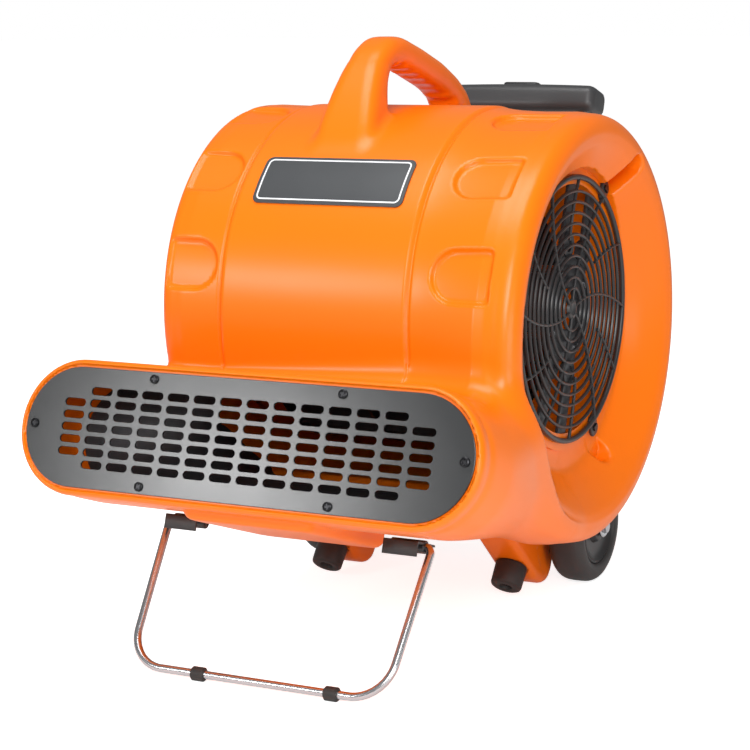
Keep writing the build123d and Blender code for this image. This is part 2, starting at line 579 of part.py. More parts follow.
# ---- control panel ----------------------------------------------------------
def control_panel():
    """Switch box on the back of the drum."""
    body = box(-PANEL_W, PANEL_W, PANEL_Y0, PANEL_Y1, -PANEL_H, PANEL_H)
    body = fillet(body.edges().filter_by(Axis.Y), radius=GRIP_ROUND)
    body -= rod_x(DRUM_R + GAP, -PANEL_W - 1, PANEL_W + 1)
    body -= rod_y(KNOB_SHAFT_R + RUN, 0, PANEL_Y1 - KNOB_SHAFT_L, PANEL_Y1 + 1, KNOB_Z)
    body -= rod_y(BREAKER_R + RUN, BREAKER_X, PANEL_Y1 - BREAKER_RISE, PANEL_Y1 + 1, SMALL_Z)
    return body


def panel_screws():
    """Screw heads at the corners of the panel, one group."""
    group = []
    inset = 2 * SCREW_HEAD_R
    for x in (-PANEL_W + inset, PANEL_W - inset):
        for z in (-PANEL_H + inset, PANEL_H - inset):
            group.append(rod_y(SCREW_HEAD_R, x, PANEL_Y1, PANEL_Y1 + SCREW_HEAD_H, z))
    return Compound(children=group)


def speed_knob():
    """Rotary knob with a pointer ridge and its spindle."""
    front = PANEL_Y1 + GAP
    knob = rod_y(KNOB_R, 0, front, front + KNOB_L * 0.4, KNOB_Z)
    knob += box(-KNOB_R / 4, KNOB_R / 4, front, front + KNOB_L, KNOB_Z - KNOB_R + 1, KNOB_Z + KNOB_R - 1)
    return knob + rod_y(KNOB_SHAFT_R, 0, PANEL_Y1 - KNOB_SHAFT_L + 1, front + 1, KNOB_Z)


def breaker_collar():
    """Threaded collar around the reset button."""
    ring = rod_y(BREAKER_COLLAR_R, BREAKER_X, PANEL_Y1, PANEL_Y1 + 3, SMALL_Z)
    return ring - rod_y(BREAKER_R + RUN, BREAKER_X, PANEL_Y1 - 1, PANEL_Y1 + 4, SMALL_Z)


def cable_gland():
    """Gland for the supply cord, on the back of the panel."""
    body = rod_y(GLAND_R, 0, PANEL_Y1, PANEL_Y1 + GLAND_L, GLAND_Z)
    body += Pos(0, PANEL_Y1 + 3, GLAND_Z) * Rot(90, 0, 0) * extrude(RegularPolygon(GLAND_R * 1.15, 6), amount=3)
    return body - rod_y(GLAND_BORE_R, 0, PANEL_Y1 - 1, PANEL_Y1 + GLAND_L + 1, GLAND_Z)


# ---- assembly ---------------------------------------------------------------
def parts():
    """Every named piece, in the flat attitude."""
    shell = housing()
    far = 2 * NOZZLE_W
    built = {
        "housing_left": shell & box(-far, 0, -far, far, -far, far),
        "housing_right": shell & box(0, far, -far, far, -far, far),
        "carry_handle": carry_handle(),
        "outlet_seat": plate_seat(),
        "outlet_plate": outlet_plate(),
        "plate_screws": plate_screws(),
        "label_plate": label_plate(),
        "label_border": label_border(),
        "inlet_ring_left": inlet_ring(SEAT_X_LEFT),
        "inlet_ring_right": inlet_ring(SEAT_X_RIGHT),
        "grille_left": inlet_grille(SEAT_X_LEFT),
        "grille_right": inlet_grille(SEAT_X_RIGHT),
        "grille_screws": grille_screws(),
        "fan_blades": fan_blades(),
        "fan_disc": fan_disc(),
        "fan_hub": ring_x(FAN_HUB_R, SHAFT_R, FAN_HUB_X0, DISC_X + DISC_T),
        "motor_shaft": rod_x(SHAFT_R, SHAFT_X0, SHAFT_X1),
        "motor_core": ring_x(MOTOR_R - MOTOR_WALL - STATOR_WALL - CORE_GAP, SHAFT_R, MOTOR_X0 + BELL_T,
                             MOTOR_X1 - BELL_T),
        "motor_stator": ring_x(MOTOR_R - MOTOR_WALL, MOTOR_R - MOTOR_WALL - STATOR_WALL, MOTOR_X0 + BELL_T,
                               MOTOR_X1 - BELL_T),
        "motor_can": ring_x(MOTOR_R, MOTOR_R - MOTOR_WALL, MOTOR_X0, MOTOR_X1),
        "motor_bell_left": motor_ring(MOTOR_X0 - BELL_T, MOTOR_X0, BEARING_R),
        "motor_bell_right": motor_ring(MOTOR_X1, MOTOR_X1 + BELL_T, BEARING_R),
        "bearing_left": ring_x(BEARING_R, SHAFT_R + RUN, MOTOR_X0 - BELL_T, MOTOR_X0),
        "bearing_right": ring_x(BEARING_R, SHAFT_R + RUN, MOTOR_X1, MOTOR_X1 + BELL_T),
        "motor_studs": studs(),
        "motor_spider": spider(),
        "motor_grommets": grommets(),
        "capacitor": rod_x(CAPACITOR_R, MOTOR_X1 - CAPACITOR_L, MOTOR_X1, 0, -MOTOR_R - CAPACITOR_R - GAP),
        "wheel_axle": rod_x(AXLE_R, -AXLE_X, AXLE_X, WHEEL_Y, WHEEL_Z),
        "axle_caps": axle_caps(),
        "tyre_left": tyre(-1),
        "tyre_right": tyre(1),
        "hub_left": wheel_hub(-1),
        "hub_right": wheel_hub(1),
        "foot_left": foot_body(-FOOT_X),
        "foot_right": foot_body(FOOT_X),
        "foot_screws": foot_screws(),
        "bracket_left": bracket(-1),
        "bracket_right": bracket(1),
        "bail": bail(),
        "sleeve_left": sleeve(SLEEVE_XS[0]),
        "sleeve_right": sleeve(SLEEVE_XS[1]),
        "outer_tube_left": outer_tube(-TUBE_X),
        "outer_tube_right": outer_tube(TUBE_X),
        "inner_tube_left": inner_tube(-TUBE_X),
        "inner_tube_right": inner_tube(TUBE_X),
        "yoke_lower": yoke(YOKE_Z_LOW),
        "yoke_upper": yoke(YOKE_Z_HIGH),
        "yoke_screws": yoke_screws(),
        "grip": grip(),
        "release_button": release_button(),
        "control_panel": control_panel(),
        "panel_screws": panel_screws(),
        "speed_knob": speed_knob(),
        "breaker_collar": breaker_collar(),
        "breaker_button": rod_y(BREAKER_R, BREAKER_X, PANEL_Y1 - BREAKER_RISE + 3, PANEL_Y1 + 6, SMALL_Z),
        "indicator_lamp": rod_y(LAMP_R, LAMP_X, PANEL_Y1, PANEL_Y1 + LAMP_H, SMALL_Z),
        "cable_gland": cable_gland(),
    }
    return built


def main():
    """Tip the assembly back onto its kickstand and write one file per piece."""
    os.makedirs("parts", exist_ok=True)
    tipped = {name: Rot(-TILT, 0, 0) * shape for name, shape in parts().items()}
    boxes = [shape.bounding_box() for shape in tipped.values()]
    floor = min(b.min.Z for b in boxes)
    middle = (min(b.min.Y for b in boxes) + max(b.max.Y for b in boxes)) / 2
    print("shift", -middle, -floor)
    for name, shape in tipped.items():
        export_step(Pos(0, -middle, -floor) * shape, f"parts/{name}.step")


main()
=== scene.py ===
"""Looks of a floor and carpet air mover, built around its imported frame.

The machine is drawn in a flat attitude (drum axis along X, outlet towards -Y, up along Z,
millimetres) and then tipped back onto its stand and wheels, which gives the row frame in metres.
"""
from __future__ import annotations

import json
import logging
import math
from dataclasses import dataclass, field
from enum import Enum

import bmesh
import bpy
import numpy as np
from mathutils import Matrix, Vector

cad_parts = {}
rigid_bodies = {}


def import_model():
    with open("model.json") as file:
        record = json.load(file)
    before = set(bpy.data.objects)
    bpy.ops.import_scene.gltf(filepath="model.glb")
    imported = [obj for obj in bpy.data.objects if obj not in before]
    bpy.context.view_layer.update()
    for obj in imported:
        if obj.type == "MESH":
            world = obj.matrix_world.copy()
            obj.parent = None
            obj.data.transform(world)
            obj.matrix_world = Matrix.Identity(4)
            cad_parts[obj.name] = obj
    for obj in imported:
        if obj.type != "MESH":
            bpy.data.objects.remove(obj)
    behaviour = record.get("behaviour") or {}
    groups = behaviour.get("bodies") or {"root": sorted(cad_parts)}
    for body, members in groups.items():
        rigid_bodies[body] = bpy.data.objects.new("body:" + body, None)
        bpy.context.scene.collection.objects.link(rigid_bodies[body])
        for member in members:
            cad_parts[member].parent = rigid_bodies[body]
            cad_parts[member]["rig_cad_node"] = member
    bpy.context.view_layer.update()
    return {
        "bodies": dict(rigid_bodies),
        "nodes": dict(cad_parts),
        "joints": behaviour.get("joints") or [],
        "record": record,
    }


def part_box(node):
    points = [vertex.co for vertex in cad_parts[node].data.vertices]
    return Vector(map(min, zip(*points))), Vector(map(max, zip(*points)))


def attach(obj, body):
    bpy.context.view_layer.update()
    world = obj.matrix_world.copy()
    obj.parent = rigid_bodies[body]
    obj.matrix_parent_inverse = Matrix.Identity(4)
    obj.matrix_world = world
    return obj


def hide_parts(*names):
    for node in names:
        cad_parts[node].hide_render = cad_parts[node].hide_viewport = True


Array = np.ndarray
Triple = tuple[float, float, float]
LOG = logging.getLogger("air_mover")
MM = 0.001
PAN_HEAD = (4.2, 2.0)
COAT_ROUGHNESS = 0.12
GRAIN_HEIGHT = 0.0006
BRUSHED_STRETCH = (0.04, 1.0, 1.0)


# ---------------------------------------------------------------- finishes
class Grain(Enum):
    """Surface character of a finish."""

    MOULDED = "moulded"
    TEXTURED = "textured"
    RUBBER = "rubber"
    BRUSHED = "brushed"
    PAINTED = "painted"
    PLATED = "plated"
    GLOSS = "gloss"


@dataclass(frozen=True)
class Finish:
    """One finish: its colours, its gloss and the grain that its surface shows.

    Colours are linear RGB. The second colour is mixed in by a broad cloudy pattern, and the fine
    pattern lifts the surface.
    """

    name: str
    slot: str
    colour: tuple[float, float, float]
    second: tuple[float, float, float]
    grain: Grain
    rough: float
    spread: float = 0.08
    metallic: float = 0.0
    coat: float = 0.0
    specular: float = 0.5
    fine: float = 900.0
    broad: float = 14.0
    lift: float = 0.05

    def material(self) -> bpy.types.Material:
        """Node material of the finish, made once.

        A broad noise mixes the two colours and moves the roughness, and a fine noise or cell pattern
        lifts the surface. Brushed metal's fine noise is drawn out along X and moves the roughness too.

        Returns:
            The material.
        """
        made = bpy.data.materials.get(self.name)
        if made is not None:
            return made
        made = bpy.data.materials.new(self.name)
        made.use_nodes = True
        nodes, links = made.node_tree.nodes, made.node_tree.links
        shader = nodes["Principled BSDF"]
        shader.inputs["Metallic"].default_value = self.metallic
        shader.inputs["Coat Weight"].default_value = self.coat
        shader.inputs["Coat Roughness"].default_value = COAT_ROUGHNESS
        shader.inputs["Specular IOR Level"].default_value = self.specular
        place = nodes.new("ShaderNodeTexCoord")
        stretch = nodes.new("ShaderNodeMapping")
        links.new(place.outputs["Object"], stretch.inputs["Vector"])
        if self.grain is Grain.BRUSHED:
            stretch.inputs["Scale"].default_value = BRUSHED_STRETCH
        clouds = nodes.new("ShaderNodeTexNoise")
        clouds.inputs["Scale"].default_value = self.broad
        clouds.inputs["Detail"].default_value = 4.0
        links.new(place.outputs["Object"], clouds.inputs["Vector"])
        tint = nodes.new("ShaderNodeMix")
        tint.data_type = "RGBA"
        tint.inputs[6].default_value = (*self.colour, 1)
        tint.inputs[7].default_value = (*self.second, 1)
        links.new(clouds.outputs["Fac"], tint.inputs[0])
        links.new(tint.outputs[2], shader.inputs["Base Color"])
        grain = nodes.new("ShaderNodeTexNoise")
        grain.inputs["Scale"].default_value = self.fine
        grain.inputs["Detail"].default_value = 3.0
        links.new(stretch.outputs["Vector"], grain.inputs["Vector"])
        gloss = nodes.new("ShaderNodeMapRange")
        gloss.inputs["To Min"].default_value = max(0.02, self.rough - self.spread)
        gloss.inputs["To Max"].default_value = min(1.0, self.rough + self.spread)
        links.new((grain if self.grain is Grain.BRUSHED else clouds).outputs["Fac"], gloss.inputs["Value"])
        links.new(gloss.outputs["Result"], shader.inputs["Roughness"])
        bump = nodes.new("ShaderNodeBump")
        bump.inputs["Strength"].default_value = self.lift
        bump.inputs["Distance"].default_value = GRAIN_HEIGHT
        height = grain
        if self.grain in (Grain.TEXTURED, Grain.RUBBER):
            height = nodes.new("ShaderNodeTexVoronoi")
            height.inputs["Scale"].default_value = self.fine
            links.new(stretch.outputs["Vector"], height.inputs["Vector"])
        links.new(height.outputs[0], bump.inputs["Height"])
        links.new(bump.outputs["Normal"], shader.inputs["Normal"])
        return made

    def dress(self, piece: bpy.types.Object) -> bpy.types.Object:
        """Gives a piece this finish, in place of any material it had.

        Args:
            piece: the piece.

        Returns:
            The same piece.
        """
        piece.data.materials.clear()
        piece.data.materials.append(self.material())
        return piece


ORANGE = Finish("shell_plastic", "shell_orange", (0.96, 0.190, 0.002), (0.93, 0.172, 0.002), Grain.MOULDED,
                0.31, spread=0.03, fine=520, broad=9, lift=0.035, specular=0.34)
PLATE = Finish("plate_enamel", "plate_black", (0.013, 0.014, 0.015), (0.017, 0.018, 0.019), Grain.PAINTED,
               0.23, spread=0.03, fine=1500, lift=0.04)
LABEL = Finish("label_film", "label_black", (0.045, 0.048, 0.052), (0.060, 0.063, 0.067), Grain.GLOSS,
               0.30, spread=0.05, coat=0.3, fine=700, lift=0.03)
LABEL_LINE = Finish("label_line", "label_silver", (0.86, 0.87, 0.89), (0.80, 0.81, 0.83), Grain.GLOSS,
                    0.35, fine=900, lift=0.02)
GUARD = Finish("guard_plastic", "guard_black", (0.022, 0.022, 0.024), (0.030, 0.029, 0.029), Grain.MOULDED,
               0.34, spread=0.06, fine=1200, lift=0.06)
GRIP = Finish("grip_plastic", "grip_black", (0.040, 0.041, 0.043), (0.050, 0.051, 0.053), Grain.TEXTURED,
              0.40, spread=0.05, fine=1600, lift=0.10)
SCREW = Finish("screw_oxide", "screw_black", (0.020, 0.020, 0.022), (0.035, 0.035, 0.038), Grain.PAINTED,
               0.30, metallic=0.8, fine=1800, lift=0.06)
STEEL = Finish("machined_steel", "steel", (0.58, 0.58, 0.60), (0.48, 0.48, 0.50), Grain.BRUSHED,
               0.28, spread=0.12, metallic=1.0, fine=1400, lift=0.05)
# black motor paint; also the colour of the duct of painted shade inside the outlet
MOTOR_PAINT_AND_SHADE = Finish("motor_paint", "motor_paint", (0.018, 0.018, 0.020), (0.028, 0.027, 0.027), Grain.PAINTED,
               0.42, fine=1100, lift=0.10)
CAPACITOR = Finish("capacitor_case", "capacitor_shell", (0.50, 0.51, 0.52), (0.44, 0.45, 0.46), Grain.MOULDED,
                   0.35, fine=900, lift=0.04)
RUBBER = Finish("soft_rubber", "rubber_black", (0.020, 0.017, 0.016), (0.030, 0.026, 0.024), Grain.RUBBER,
                0.55, fine=1500, lift=0.12)
TYRE = Finish("tyre_rubber", "tyre_black", (0.030, 0.029, 0.029), (0.042, 0.040, 0.039), Grain.RUBBER,
              0.48, fine=1300, lift=0.10)
CHROME = Finish("bright_plate", "bright_chrome", (0.60, 0.61, 0.63), (0.54, 0.55, 0.57), Grain.PLATED,
                0.24, spread=0.05, metallic=1.0, fine=600, lift=0.02)
TUBE = Finish("tube_enamel", "tube_black", (0.025, 0.025, 0.027), (0.034, 0.034, 0.036), Grain.PAINTED,
              0.30, metallic=0.3, fine=1300, lift=0.05)
RED = Finish("breaker_plastic", "breaker_red", (0.55, 0.020, 0.015), (0.48, 0.015, 0.012), Grain.MOULDED,
             0.30, fine=900, lift=0.03)
LAMP = Finish("lamp_lens", "lamp_red", (0.50, 0.030, 0.020), (0.60, 0.050, 0.030), Grain.GLOSS,
              0.12, coat=0.6, fine=500, lift=0.02)


# ---------------------------------------------------------------- surfaces
def mesh_of(name: str, points: Array, blocks: list[Array]) -> bpy.types.Mesh:
    """Mesh of points and faces.

    Args:
        name: name of the mesh.
        points: array (points, 3), metres.
        blocks: arrays (faces, corners) of point numbers.

    Returns:
        The mesh, with its edges worked out.
    """
    mesh = bpy.data.meshes.new(name)
    loops = np.concatenate([b.ravel() for b in blocks]).astype(np.int32)
    sizes = np.concatenate([np.full(len(b), b.shape[1]) for b in blocks])
    mesh.vertices.add(len(points))
    mesh.vertices.foreach_set("co", points.astype(np.float32).ravel())
    mesh.loops.add(len(loops))
    mesh.loops.foreach_set("vertex_index", loops)
    mesh.polygons.add(len(sizes))
    mesh.polygons.foreach_set("loop_start", np.concatenate([[0], np.cumsum(sizes)[:-1]]).astype(np.int32))
    mesh.update(calc_edges=True)
    return mesh


@dataclass
class Surface:
    """Points in millimetres and blocks of faces, each block an array of one face size."""

    points: Array
    blocks: list[Array]

    def moved(self, x: float = 0.0, y: float = 0.0, z: float = 0.0) -> "Surface":
        """Returns the surface shifted along the axes."""
        return Surface(self.points + np.array([x, y, z], float), self.blocks)

    def turned(self, axis: str, degrees: float) -> "Surface":
        """Returns the surface turned about an axis through the origin."""
        matrix = np.array(Matrix.Rotation(math.radians(degrees), 3, axis))
        return Surface(self.points @ matrix.T, self.blocks)


def joined(parts: list[Surface]) -> Surface:
    """One surface of several.

    Args:
        parts: the surfaces, in order.

    Returns:
        A surface that holds all their points and faces.
    """
    blocks, start = [], 0
    for part in parts:
        blocks.extend(block + start for block in part.blocks)
        start += len(part.points)
    return Surface(np.concatenate([p.points for p in parts]), blocks)


def skin(rings: Array, ring_to_ring: bool = False) -> Surface:
    """Skin over rings of points: each ring is closed, and neighbours are joined by quads.

    Args:
        rings: array (rings, points, 3). The points run anticlockwise when seen from the last ring.
        ring_to_ring: whether the last ring joins the first; if not, both are filled.

    Returns:
        The closed surface.
    """
    count, size = rings.shape[:2]
    rows = np.arange(count if ring_to_ring else count - 1)
    i, j = np.meshgrid(rows, np.arange(size), indexing="ij")
    i2, j2 = (i + 1) % count, (j + 1) % size
    quads = np.stack([i * size + j, i * size + j2, i2 * size + j2, i2 * size + j], -1).reshape(-1, 4)
    blocks = [quads]
    if not ring_to_ring:
        blocks.append(np.arange(size)[::-1][None])
        blocks.append((np.arange(size) + (count - 1) * size)[None])
    return Surface(rings.reshape(-1, 3), blocks)


def lathe(profile: list[tuple[float, float]] | Array, turns: int = 96) -> Surface:
    """Profile carried round the X axis: point (x, r) goes to (x, r cos t, r sin t).

    Args:
        profile: closed outline of (x, radius) points, which may touch the axis.
        turns: number of steps round the axis.

    Returns:
        The closed surface of revolution.
    """
    outline = np.array(profile, float)
    t = np.arange(turns) * (2 * math.pi / turns)
    rings = np.stack([np.broadcast_to(outline[:, 0], (turns, len(outline))),
                      np.cos(t)[:, None] * outline[:, 1], np.sin(t)[:, None] * outline[:, 1]], -1)
    return skin(rings, ring_to_ring=True)


def rounded(points: list[tuple[float, float]], radius: float, steps: int = 4) -> Array:
    """Closed outline whose corners are replaced by arcs, a quadratic blend of the two edges.

    Args:
        points: the corners.
        radius: how far from each corner its arc starts, at most.
        steps: points on each arc, less one.

    Returns:
        Array (points, 2).
    """
    p = np.array(points, float)
    before, after = np.roll(p, 1, 0) - p, np.roll(p, -1, 0) - p
    lengths = np.minimum(np.linalg.norm(before, axis=1), np.linalg.norm(after, axis=1))
    cut = np.minimum(radius, lengths * 0.49)[:, None]
    a = p + before / np.linalg.norm(before, axis=1)[:, None] * cut
    b = p + after / np.linalg.norm(after, axis=1)[:, None] * cut
    t = np.linspace(0, 1, steps + 1)[None, :, None]
    arcs = a[:, None] * (1 - t) ** 2 + p[:, None] * 2 * t * (1 - t) + b[:, None] * t ** 2
    return arcs.reshape(-1, 2)


def box_outline(width: float, height: float, radius: float, steps: int = 5) -> Array:
    """Rounded rectangle, anticlockwise and centred on the origin: four quarter circles joined by straights.

    Args:
        width: along the first axis.
        height: along the second axis.
        radius: corner radius.
        steps: points on each corner, less one.

    Returns:
        Array (points, 2).
    """
    a = np.linspace(0, math.pi / 2, steps + 1)
    corners = []
    for k, (sx, sy) in enumerate([(1, 1), (-1, 1), (-1, -1), (1, -1)]):
        t = a + k * math.pi / 2
        corners.append(np.stack([sx * (width / 2 - radius) + radius * np.cos(t),
                                 sy * (height / 2 - radius) + radius * np.sin(t)], -1))
    return np.concatenate(corners)


def inset(outline: Array, amount: float) -> Array:
    """Closed anticlockwise outline moved inwards along its own normals.

    Args:
        outline: array (points, 2).
        amount: distance, positive inwards.

    Returns:
        Array (points, 2).
    """
    along = np.roll(outline, -1, 0) - np.roll(outline, 1, 0)
    along /= np.maximum(np.linalg.norm(along, axis=1), 1e-9)[:, None]
    return outline + np.stack([-along[:, 1], along[:, 0]], -1) * amount


def prism(outline: Array, low: float, high: float, edge: float, steps: int = 3) -> Surface:
    """Outline in X and Z carried along Y, with rounded edges at both ends.

    The outline shrinks by edge (1 - sin a) at a depth of edge (1 - cos a), for a from 0 to 90 degrees.

    Args:
        outline: anticlockwise array (points, 2).
        low: Y of the front face.
        high: Y of the back face.
        edge: radius of the rounding.
        steps: rings on each rounding.

    Returns:
        The closed surface, which looks along -Y.
    """
    a = np.linspace(0, math.pi / 2, steps + 1)
    depth = np.concatenate([low + edge * (1 - np.cos(a)), high - edge * (1 - np.cos(a[::-1]))])
    shrink = np.concatenate([edge * (1 - np.sin(a)), edge * (1 - np.sin(a[::-1]))])
    rings = np.stack([np.stack([inset(outline, s)[:, 0], np.full(len(outline), d), inset(outline, s)[:, 1]], -1)
                      for d, s in zip(depth, shrink)])
    return skin(rings[:, ::-1])


def carried(path: Array, section: Array, normal: Array, closed: bool = False) -> Surface:
    """Section carried along a path: point (a, b) goes to path + a (normal x tangent) + b normal.

    Args:
        path: array (points, 3).
        section: array (points, 2), anticlockwise.
        normal: array (3) or (points, 3), the side of the section that b runs along.
        closed: whether the path's end joins its start.

    Returns:
        The closed surface.
    """
    if closed:
        tangent = np.roll(path, -1, 0) - np.roll(path, 1, 0)
    else:
        tangent = np.gradient(path, axis=0)
    tangent /= np.linalg.norm(tangent, axis=1)[:, None]
    up = np.broadcast_to(normal, path.shape)
    side = np.cross(up, tangent)
    side /= np.linalg.norm(side, axis=1)[:, None]
    rings = path[:, None] + side[:, None] * section[None, :, :1] + up[:, None] * section[None, :, 1:]
    return skin(rings[:, ::-1], ring_to_ring=closed)


def circle(radius: float, steps: int = 12) -> Array:
    """Points on a circle, anticlockwise."""
    t = np.arange(steps) * (2 * math.pi / steps)
    return np.stack([radius * np.cos(t), radius * np.sin(t)], -1)


def screw_head(radius: float, height: float, slot: float = 0.9) -> Surface:
    """Pan head that faces +X, with a cross recess.

    The dome's height falls with the fourth power of the radius, and drops by a little over half where
    the nearer of the two cross bars is closer than slot.

    Args:
        radius: outer radius.
        height: height of the dome.
        slot: half width of the cross.

    Returns:
        The head, its seat at x = 0.
    """
    fall, bar_reach, bar_depth, turns = 0.35, 0.62, 0.55, 32
    r = radius * np.array([0.0, 0.12, 0.24, 0.36, 0.48, 0.58, 0.68, 0.8, 0.92, 1.0])
    t = np.arange(turns) * (2 * math.pi / turns)
    y, z = r[:, None] * np.cos(t), r[:, None] * np.sin(t)
    dome = height * (1 - fall * (r / radius) ** 4)[:, None] + 0 * y
    near = np.minimum(np.abs(y), np.abs(z))
    cross = (near < slot) & (r[:, None] < bar_reach * radius)
    x = np.where(cross, dome - height * bar_depth, dome)
    rings = np.stack([x, y, z], -1)
    base = rings[-1:] * np.array([0.0, 1, 1])
    return skin(np.concatenate([base, rings]))


@dataclass(frozen=True)
class Attitude:
    """Tilt and place of the flat drawing in the row frame."""

    cos: float
    sin: float
    y: float
    z: float

    @classmethod
    def of(cls, frame: dict) -> "Attitude":
        """Reads the tilt from the tow handle's slide and the place from the motor's shaft.

        Args:
            frame: what the frame's load gave.

        Returns:
            The attitude.
        """
        slide = next(j for j in frame["joints"] if j["name"] == "tow_handle_slide")
        low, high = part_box("motor_shaft")
        centre = (low + high) / 2
        return cls(slide["axis"][2], slide["axis"][1], centre.y, centre.z)

    def place(self, p: Array) -> Array:
        """Flat millimetres to metres in the row frame."""
        return self.aim(p) * MM + np.array([0.0, self.y, self.z])

    def aim(self, p: Array) -> Array:
        """A direction of the flat drawing in the row frame."""
        y, z = p[..., 1], p[..., 2]
        return np.stack([p[..., 0], y * self.cos + z * self.sin, z * self.cos - y * self.sin], -1)


@dataclass
class Workshop:
    """Turns surfaces into finished pieces on their bodies."""

    attitude: Attitude
    weld: float = 2e-6
    bevel_steps: int = 2
    made: list[str] = field(default_factory=list)

    def piece(self, name: str, surface: Surface, finish: Finish, body: str, replaces: tuple[str, ...] = (),
              edge: float = 0.0, sharp: float = 38.0, placed: bool = False) -> bpy.types.Object:
        """Makes one piece: its doubles are merged and its normals worked out again.

        Args:
            name: name of the piece.
            surface: its surface, flat millimetres, or metres in the row frame when placed is true.
            finish: its finish.
            body: the body it rides on.
            replaces: the nodes it stands for.
            edge: width in millimetres of a bevel on its hard edges, 0 for none.
            sharp: angle in degrees above which an edge stays hard.
            placed: whether the surface is already in the row frame.

        Returns:
            The piece.
        """
        mesh = mesh_of(name, surface.points if placed else self.attitude.place(surface.points), surface.blocks)
        mesh.validate()
        work = bmesh.new()
        work.from_mesh(mesh)
        bmesh.ops.remove_doubles(work, verts=work.verts, dist=self.weld)
        bmesh.ops.dissolve_degenerate(work, dist=self.weld / 2, edges=work.edges)
        bmesh.ops.recalc_face_normals(work, faces=work.faces)
        work.to_mesh(mesh)
        work.free()
        mesh.polygons.foreach_set("use_smooth", np.ones(len(mesh.polygons), bool))
        mesh.set_sharp_from_angle(angle=math.radians(sharp))
        return self.mounted(name, mesh, finish, body, replaces, edge, sharp)

    def mounted(self, name: str, mesh: bpy.types.Mesh, finish: Finish, body: str, replaces: tuple[str, ...],
                edge: float = 0.0, sharp: float = 0.0) -> bpy.types.Object:
        """Puts a mesh in the scene, dresses it and sets it on its body.

        Args:
            name: name of the piece.
            mesh: its mesh, in the row frame.
            finish: its finish.
            body: the body it rides on.
            replaces: the nodes it stands for.
            edge: width in millimetres of a bevel on its hard edges, 0 for none.
            sharp: angle in degrees above which the bevel takes an edge.

        Returns:
            The piece.
        """
        made = bpy.data.objects.new(name, mesh)
        bpy.context.scene.collection.objects.link(made)
        if edge > 0:
            bevel = made.modifiers.new("edge", "BEVEL")
            bevel.width, bevel.segments = edge * MM, self.bevel_steps
            bevel.limit_method, bevel.angle_limit = "ANGLE", math.radians(sharp)
        finish.dress(made)
        if replaces:
            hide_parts(*replaces)
        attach(made, body)
        self.made.append(name)
        LOG.info("%s: %d faces on %s", name, len(mesh.polygons), body)
        return made


# ---------------------------------------------------------------- fields
def soft_min(a: Array, b: Array, k: float) -> Array:
    """Smaller of two fields, with the crease between them filled over a width k."""
    h = np.clip(0.5 + 0.5 * (b - a) / k, 0, 1)
    return b + (a - b) * h - k * h * (1 - h)


def soft_max(a: Array, b: Array, k: float) -> Array:
    """Larger of two fields, with the ridge between them rounded over a width k."""
    return -soft_min(-a, -b, k)


class OutlineField:
    """Signed distance to a closed outline in a plane, kept in a table and read between its points."""

    def __init__(self, outline: Array, low: tuple[float, float], high: tuple[float, float], step: float) -> None:
        """Fills the table.

        The distance is the least of the distances to the outline's edges, and it is negative where a
        ray crosses the outline an odd number of times.

        Args:
            outline: array (points, 2).
            low: lowest corner of the table.
            high: highest corner of the table.
            step: spacing of the table.
        """
        self.low, self.step = low, step
        u = np.arange(low[0], high[0] + step, step, dtype=np.float32)[:, None]
        v = np.arange(low[1], high[1] + step, step, dtype=np.float32)[None, :]
        best = np.full((u.size, v.size), 1e9, np.float32)
        odd = np.zeros(best.shape, bool)
        for (au, av), (bu, bv) in zip(outline, np.roll(outline, -1, 0)):
            eu, ev = bu - au, bv - av
            t = np.clip(((u - au) * eu + (v - av) * ev) / (eu * eu + ev * ev + 1e-12), 0, 1)
            best = np.minimum(best, (u - au - t * eu) ** 2 + (v - av - t * ev) ** 2)
            if av != bv:
                odd ^= ((av > v) != (bv > v)) & (u < eu * (v - av) / ev + au)
        self.table = np.where(odd, -1, 1) * np.sqrt(best)

    def at(self, u: Array, v: Array) -> Array:
        """Distance at points of the plane, from the four nearest table values.

        Args:
            u: first coordinate of the points.
            v: second coordinate of the points.

        Returns:
            The distances.
        """
        fu = np.clip((u - self.low[0]) / self.step, 0, self.table.shape[0] - 1.001)
        fv = np.clip((v - self.low[1]) / self.step, 0, self.table.shape[1] - 1.001)
        iu, iv = fu.astype(np.int32), fv.astype(np.int32)
        du, dv = fu - iu, fv - iv
        t = self.table
        return ((t[iu, iv] * (1 - du) + t[iu + 1, iv] * du) * (1 - dv)
                + (t[iu, iv + 1] * (1 - du) + t[iu + 1, iv + 1] * du) * dv)


